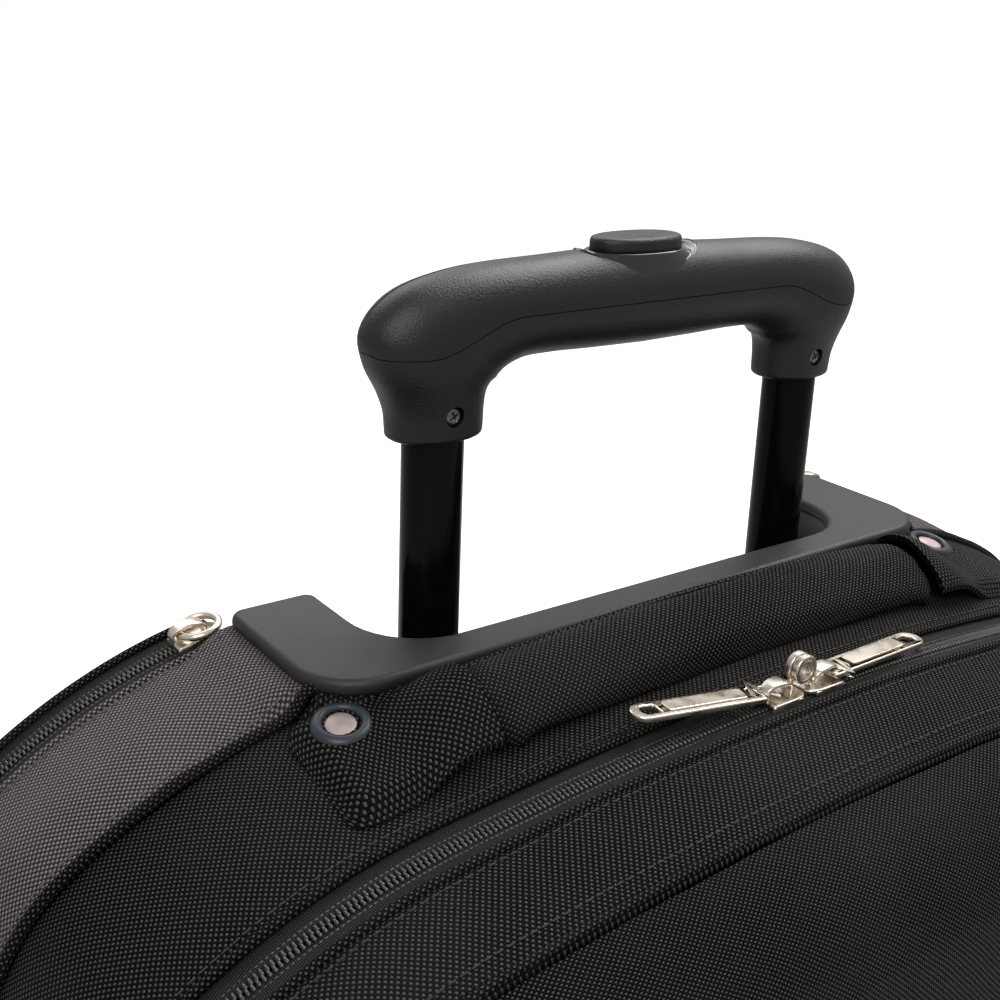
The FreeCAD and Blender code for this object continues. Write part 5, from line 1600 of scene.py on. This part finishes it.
def make_sleeve():
    a, b = low("laptop_sleeve"), high("laptop_sleeve")
    for name, y0, y1 in (("sleeve_front", a.y, ROOM_FRONT - 0.3), ("sleeve_back", ROOM_BACK + 0.3, b.y)):
        quilt = pillow(name + "_cloth", Vector((a.x + 2, y0, a.z + 2)), Vector((b.x - 2, y1, b.z)), 10.0,
                       min(4.0, y1 - y0), LINING, 41.0, cap=1.2)
        if name == "sleeve_front":
            # quilted channels
            for vert in quilt.data.vertices:
                x, y, _ = vert.co / MM
                if y < y0 + 2.5:
                    vert.co.y += 0.8 * MM * max(math.exp(-((x - c) / 3.0) ** 2) for c in (-136, -68, 0, 68, 136))
        place(quilt, "case", "lining", "laptop_sleeve")
    front, back = ROOM_FRONT - 1, ROOM_BACK + 1
    for side, word in ((1, "right"), (-1, "left")):
        path = rounded_box(side * (b.x - 5), side * (b.x - 0.5), front, back, 1.2, 3)
        wall = prism(f"sleeve_wall_{word}", path, a.z + 2, b.z - 1, LINING)
        place(lay_cloth(wall, lambda p, n: (p.y, p.z)), "case", "lining")
    floor = prism("sleeve_floor", rounded_box(a.x + 2, b.x - 2, front, back, 1, 3), a.z + 0.5, a.z + 4.5, LINING)
    place(lay_cloth(floor, lambda p, n: (p.x, p.y)), "case", "lining")


def lid_pillow(name, x0, x1, y0, y1, z0, z1, radius, bulge, material, seed, cap, slot, *nodes):
    """A stuffed form that faces into the case, on the front lid."""
    form = pillow(name, Vector((-x1, -y1, z0)), Vector((-x0, -y0, z1)), radius, bulge, material, seed, cap)
    form.data.transform(Matrix.Rotation(math.pi, 4, "Z"))
    place(form, "front_lid", slot, *nodes)


def make_organiser():
    a, b = low("lid_organiser"), high("lid_organiser")
    lid_pillow("organiser_cloth", -b.x, -a.x, a.y, b.y, a.z, b.z, 12.0, 3.0, LINING, 51.0, 1.0, "lining",
               "lid_organiser")
    for k, (x0, x1, top) in enumerate(((-160, -62, 180), (-54, 54, 205), (62, 160, 180))):
        lid_pillow(f"organiser_pocket_{k}", x0, x1, b.y + 0.4, b.y + 5.2, a.z + 8, top, 8.0, 3.5, NYLON_BLACK,
                   55.0 + k, 1.2, "gusset_black")


def make_hinges():
    """Cloth strips that join the two opening panels to the case along their lower edges."""
    for name, other, reach, path in (
            ("front_hinge", "front_lid", 182.0, [(-80.0, 47.4), (-86.0, 46.9), (-91.0, 46.6), (-95.5, 47.4),
                                                 (-98.4, 50.4), (-99.2, 55.0), (-99.0, 60.0)]),
            ("back_hinge", "back_lid", 160.0, [(97.6, 104.0), (98.4, 107.5), (98.9, 111.0), (98.9, 114.5),
                                               (98.4, 118.0), (97.6, 121.5)])):
        rows = [[Vector((-reach + 2 * reach * k / 60, y, z)) for y, z in path] for k in range(61)]
        strip = from_grid(f"{name}_cloth", rows, NYLON_BLACK, uvs=lambda j, i: (j * reach / 30, i * 5.0))
        thicken(strip, 0.8)
        apply_all(strip)
        start, end = ((0, y * MM, z * MM) for y, z in (path[0], path[-1]))
        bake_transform(strip)
        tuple(start)
        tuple(end)


# ------------------------------------------------------------------ floor, light and camera
def area_light(name, where, target, size, power):
    data = bpy.data.lights.new(name, "AREA")
    data.shape = "RECTANGLE"
    data.size, data.size_y = size
    data.energy = power
    lamp = bpy.data.objects.new(name, data)
    bpy.context.scene.collection.objects.link(lamp)
    lamp.location = where
    lamp.rotation_euler = (Vector(target) - Vector(where)).to_track_quat("-Z", "Y").to_euler()


def make_floor():
    """A white floor that fades into the background round the case."""
    n = Nodes("floor_white")
    seen = n.add("LightPath").outputs["Is Camera Ray"]
    grain = n.remap(n.noise(3.0, 2.0, n.position()), 0.3, 0.7, 0.84, 0.88)
    reach = n.add("VectorMath", operation="LENGTH")
    n.put(reach.inputs[0], n.position())
    glow = n.remap(reach.outputs["Value"], 0.35, 1.1, 0.45, 1.0)
    white = n.set(Base_Color=grain, Roughness=0.9, Emission_Color=(1, 1, 1, 1),
                  Emission_Strength=n.times(seen, glow))
    size = 30.0 / MM
    rows = [[Vector((x, y, 0)) for x in (-size, size)] for y in (-size, size)]
    from_grid("floor", rows, white)


def make_world():
    """White behind the case, dimmer where the light only reaches by reflection."""
    world = bpy.data.worlds.new("studio")
    bpy.context.scene.world = world
    world.use_nodes = True
    tree = world.node_tree
    ray = tree.nodes.new("ShaderNodeLightPath")
    strength = tree.nodes.new("ShaderNodeMapRange")
    strength.inputs["To Min"].default_value = 0.2
    strength.inputs["To Max"].default_value = 1.0
    seen = tree.nodes.new("ShaderNodeMath")
    seen.operation = "MULTIPLY_ADD"
    seen.inputs[1].default_value = 0.35
    tree.links.new(ray.outputs["Is Glossy Ray"], seen.inputs[0])
    tree.links.new(ray.outputs["Is Camera Ray"], seen.inputs[2])
    tree.links.new(seen.outputs[0], strength.inputs["Value"])
    tree.links.new(strength.outputs[0], tree.nodes["Background"].inputs["Strength"])
    tree.nodes["Background"].inputs["Color"].default_value = (1, 1, 1, 1)


def make_lights():
    area_light("key", (-0.9, -0.9, 1.6), (0, 0, 0.4), (0.9, 0.9), 14)
    area_light("fill", (0.8, 0.25, 1.5), (0, 0, 0.42), (1.1, 0.8), 15)
    area_light("rim", (0.2, 1.4, 1.5), (0, 0, 0.4), (1.4, 0.7), 7)
    bpy.context.scene.view_settings.view_transform = "Standard"


def make_camera():
    data = bpy.data.cameras.new("camera")
    camera = bpy.data.objects.new("camera", data)
    bpy.context.scene.collection.objects.link(camera)
    forward = Vector((0.5722, 0.7638, -0.2986)).normalized()
    right = Vector((0.8069, -0.5894, 0.0387)).normalized()
    up = right.cross(forward)
    turn = Matrix((right, up, -forward)).transposed().to_4x4()
    camera.matrix_world = Matrix.Translation(Vector((-0.2873, -0.2645, 0.5708))) @ turn
    data.sensor_width = 36.0
    data.lens = 48.0
    data.shift_x = -0.0061
    data.shift_y = -0.0643
    data.clip_start, data.clip_end = 0.01, 100.0
    bpy.context.scene.camera = camera


for make in (make_shell, make_front_and_back, make_cap, make_tubes, make_zips, make_seams, make_sliders,
             make_pad, make_straps, make_grip, make_screws, make_button, make_base, make_kick_plate, make_feet,
             make_wheels, make_pocket, make_sleeve, make_organiser, make_hinges, make_floor, make_world,
             make_lights, make_camera):
    make()
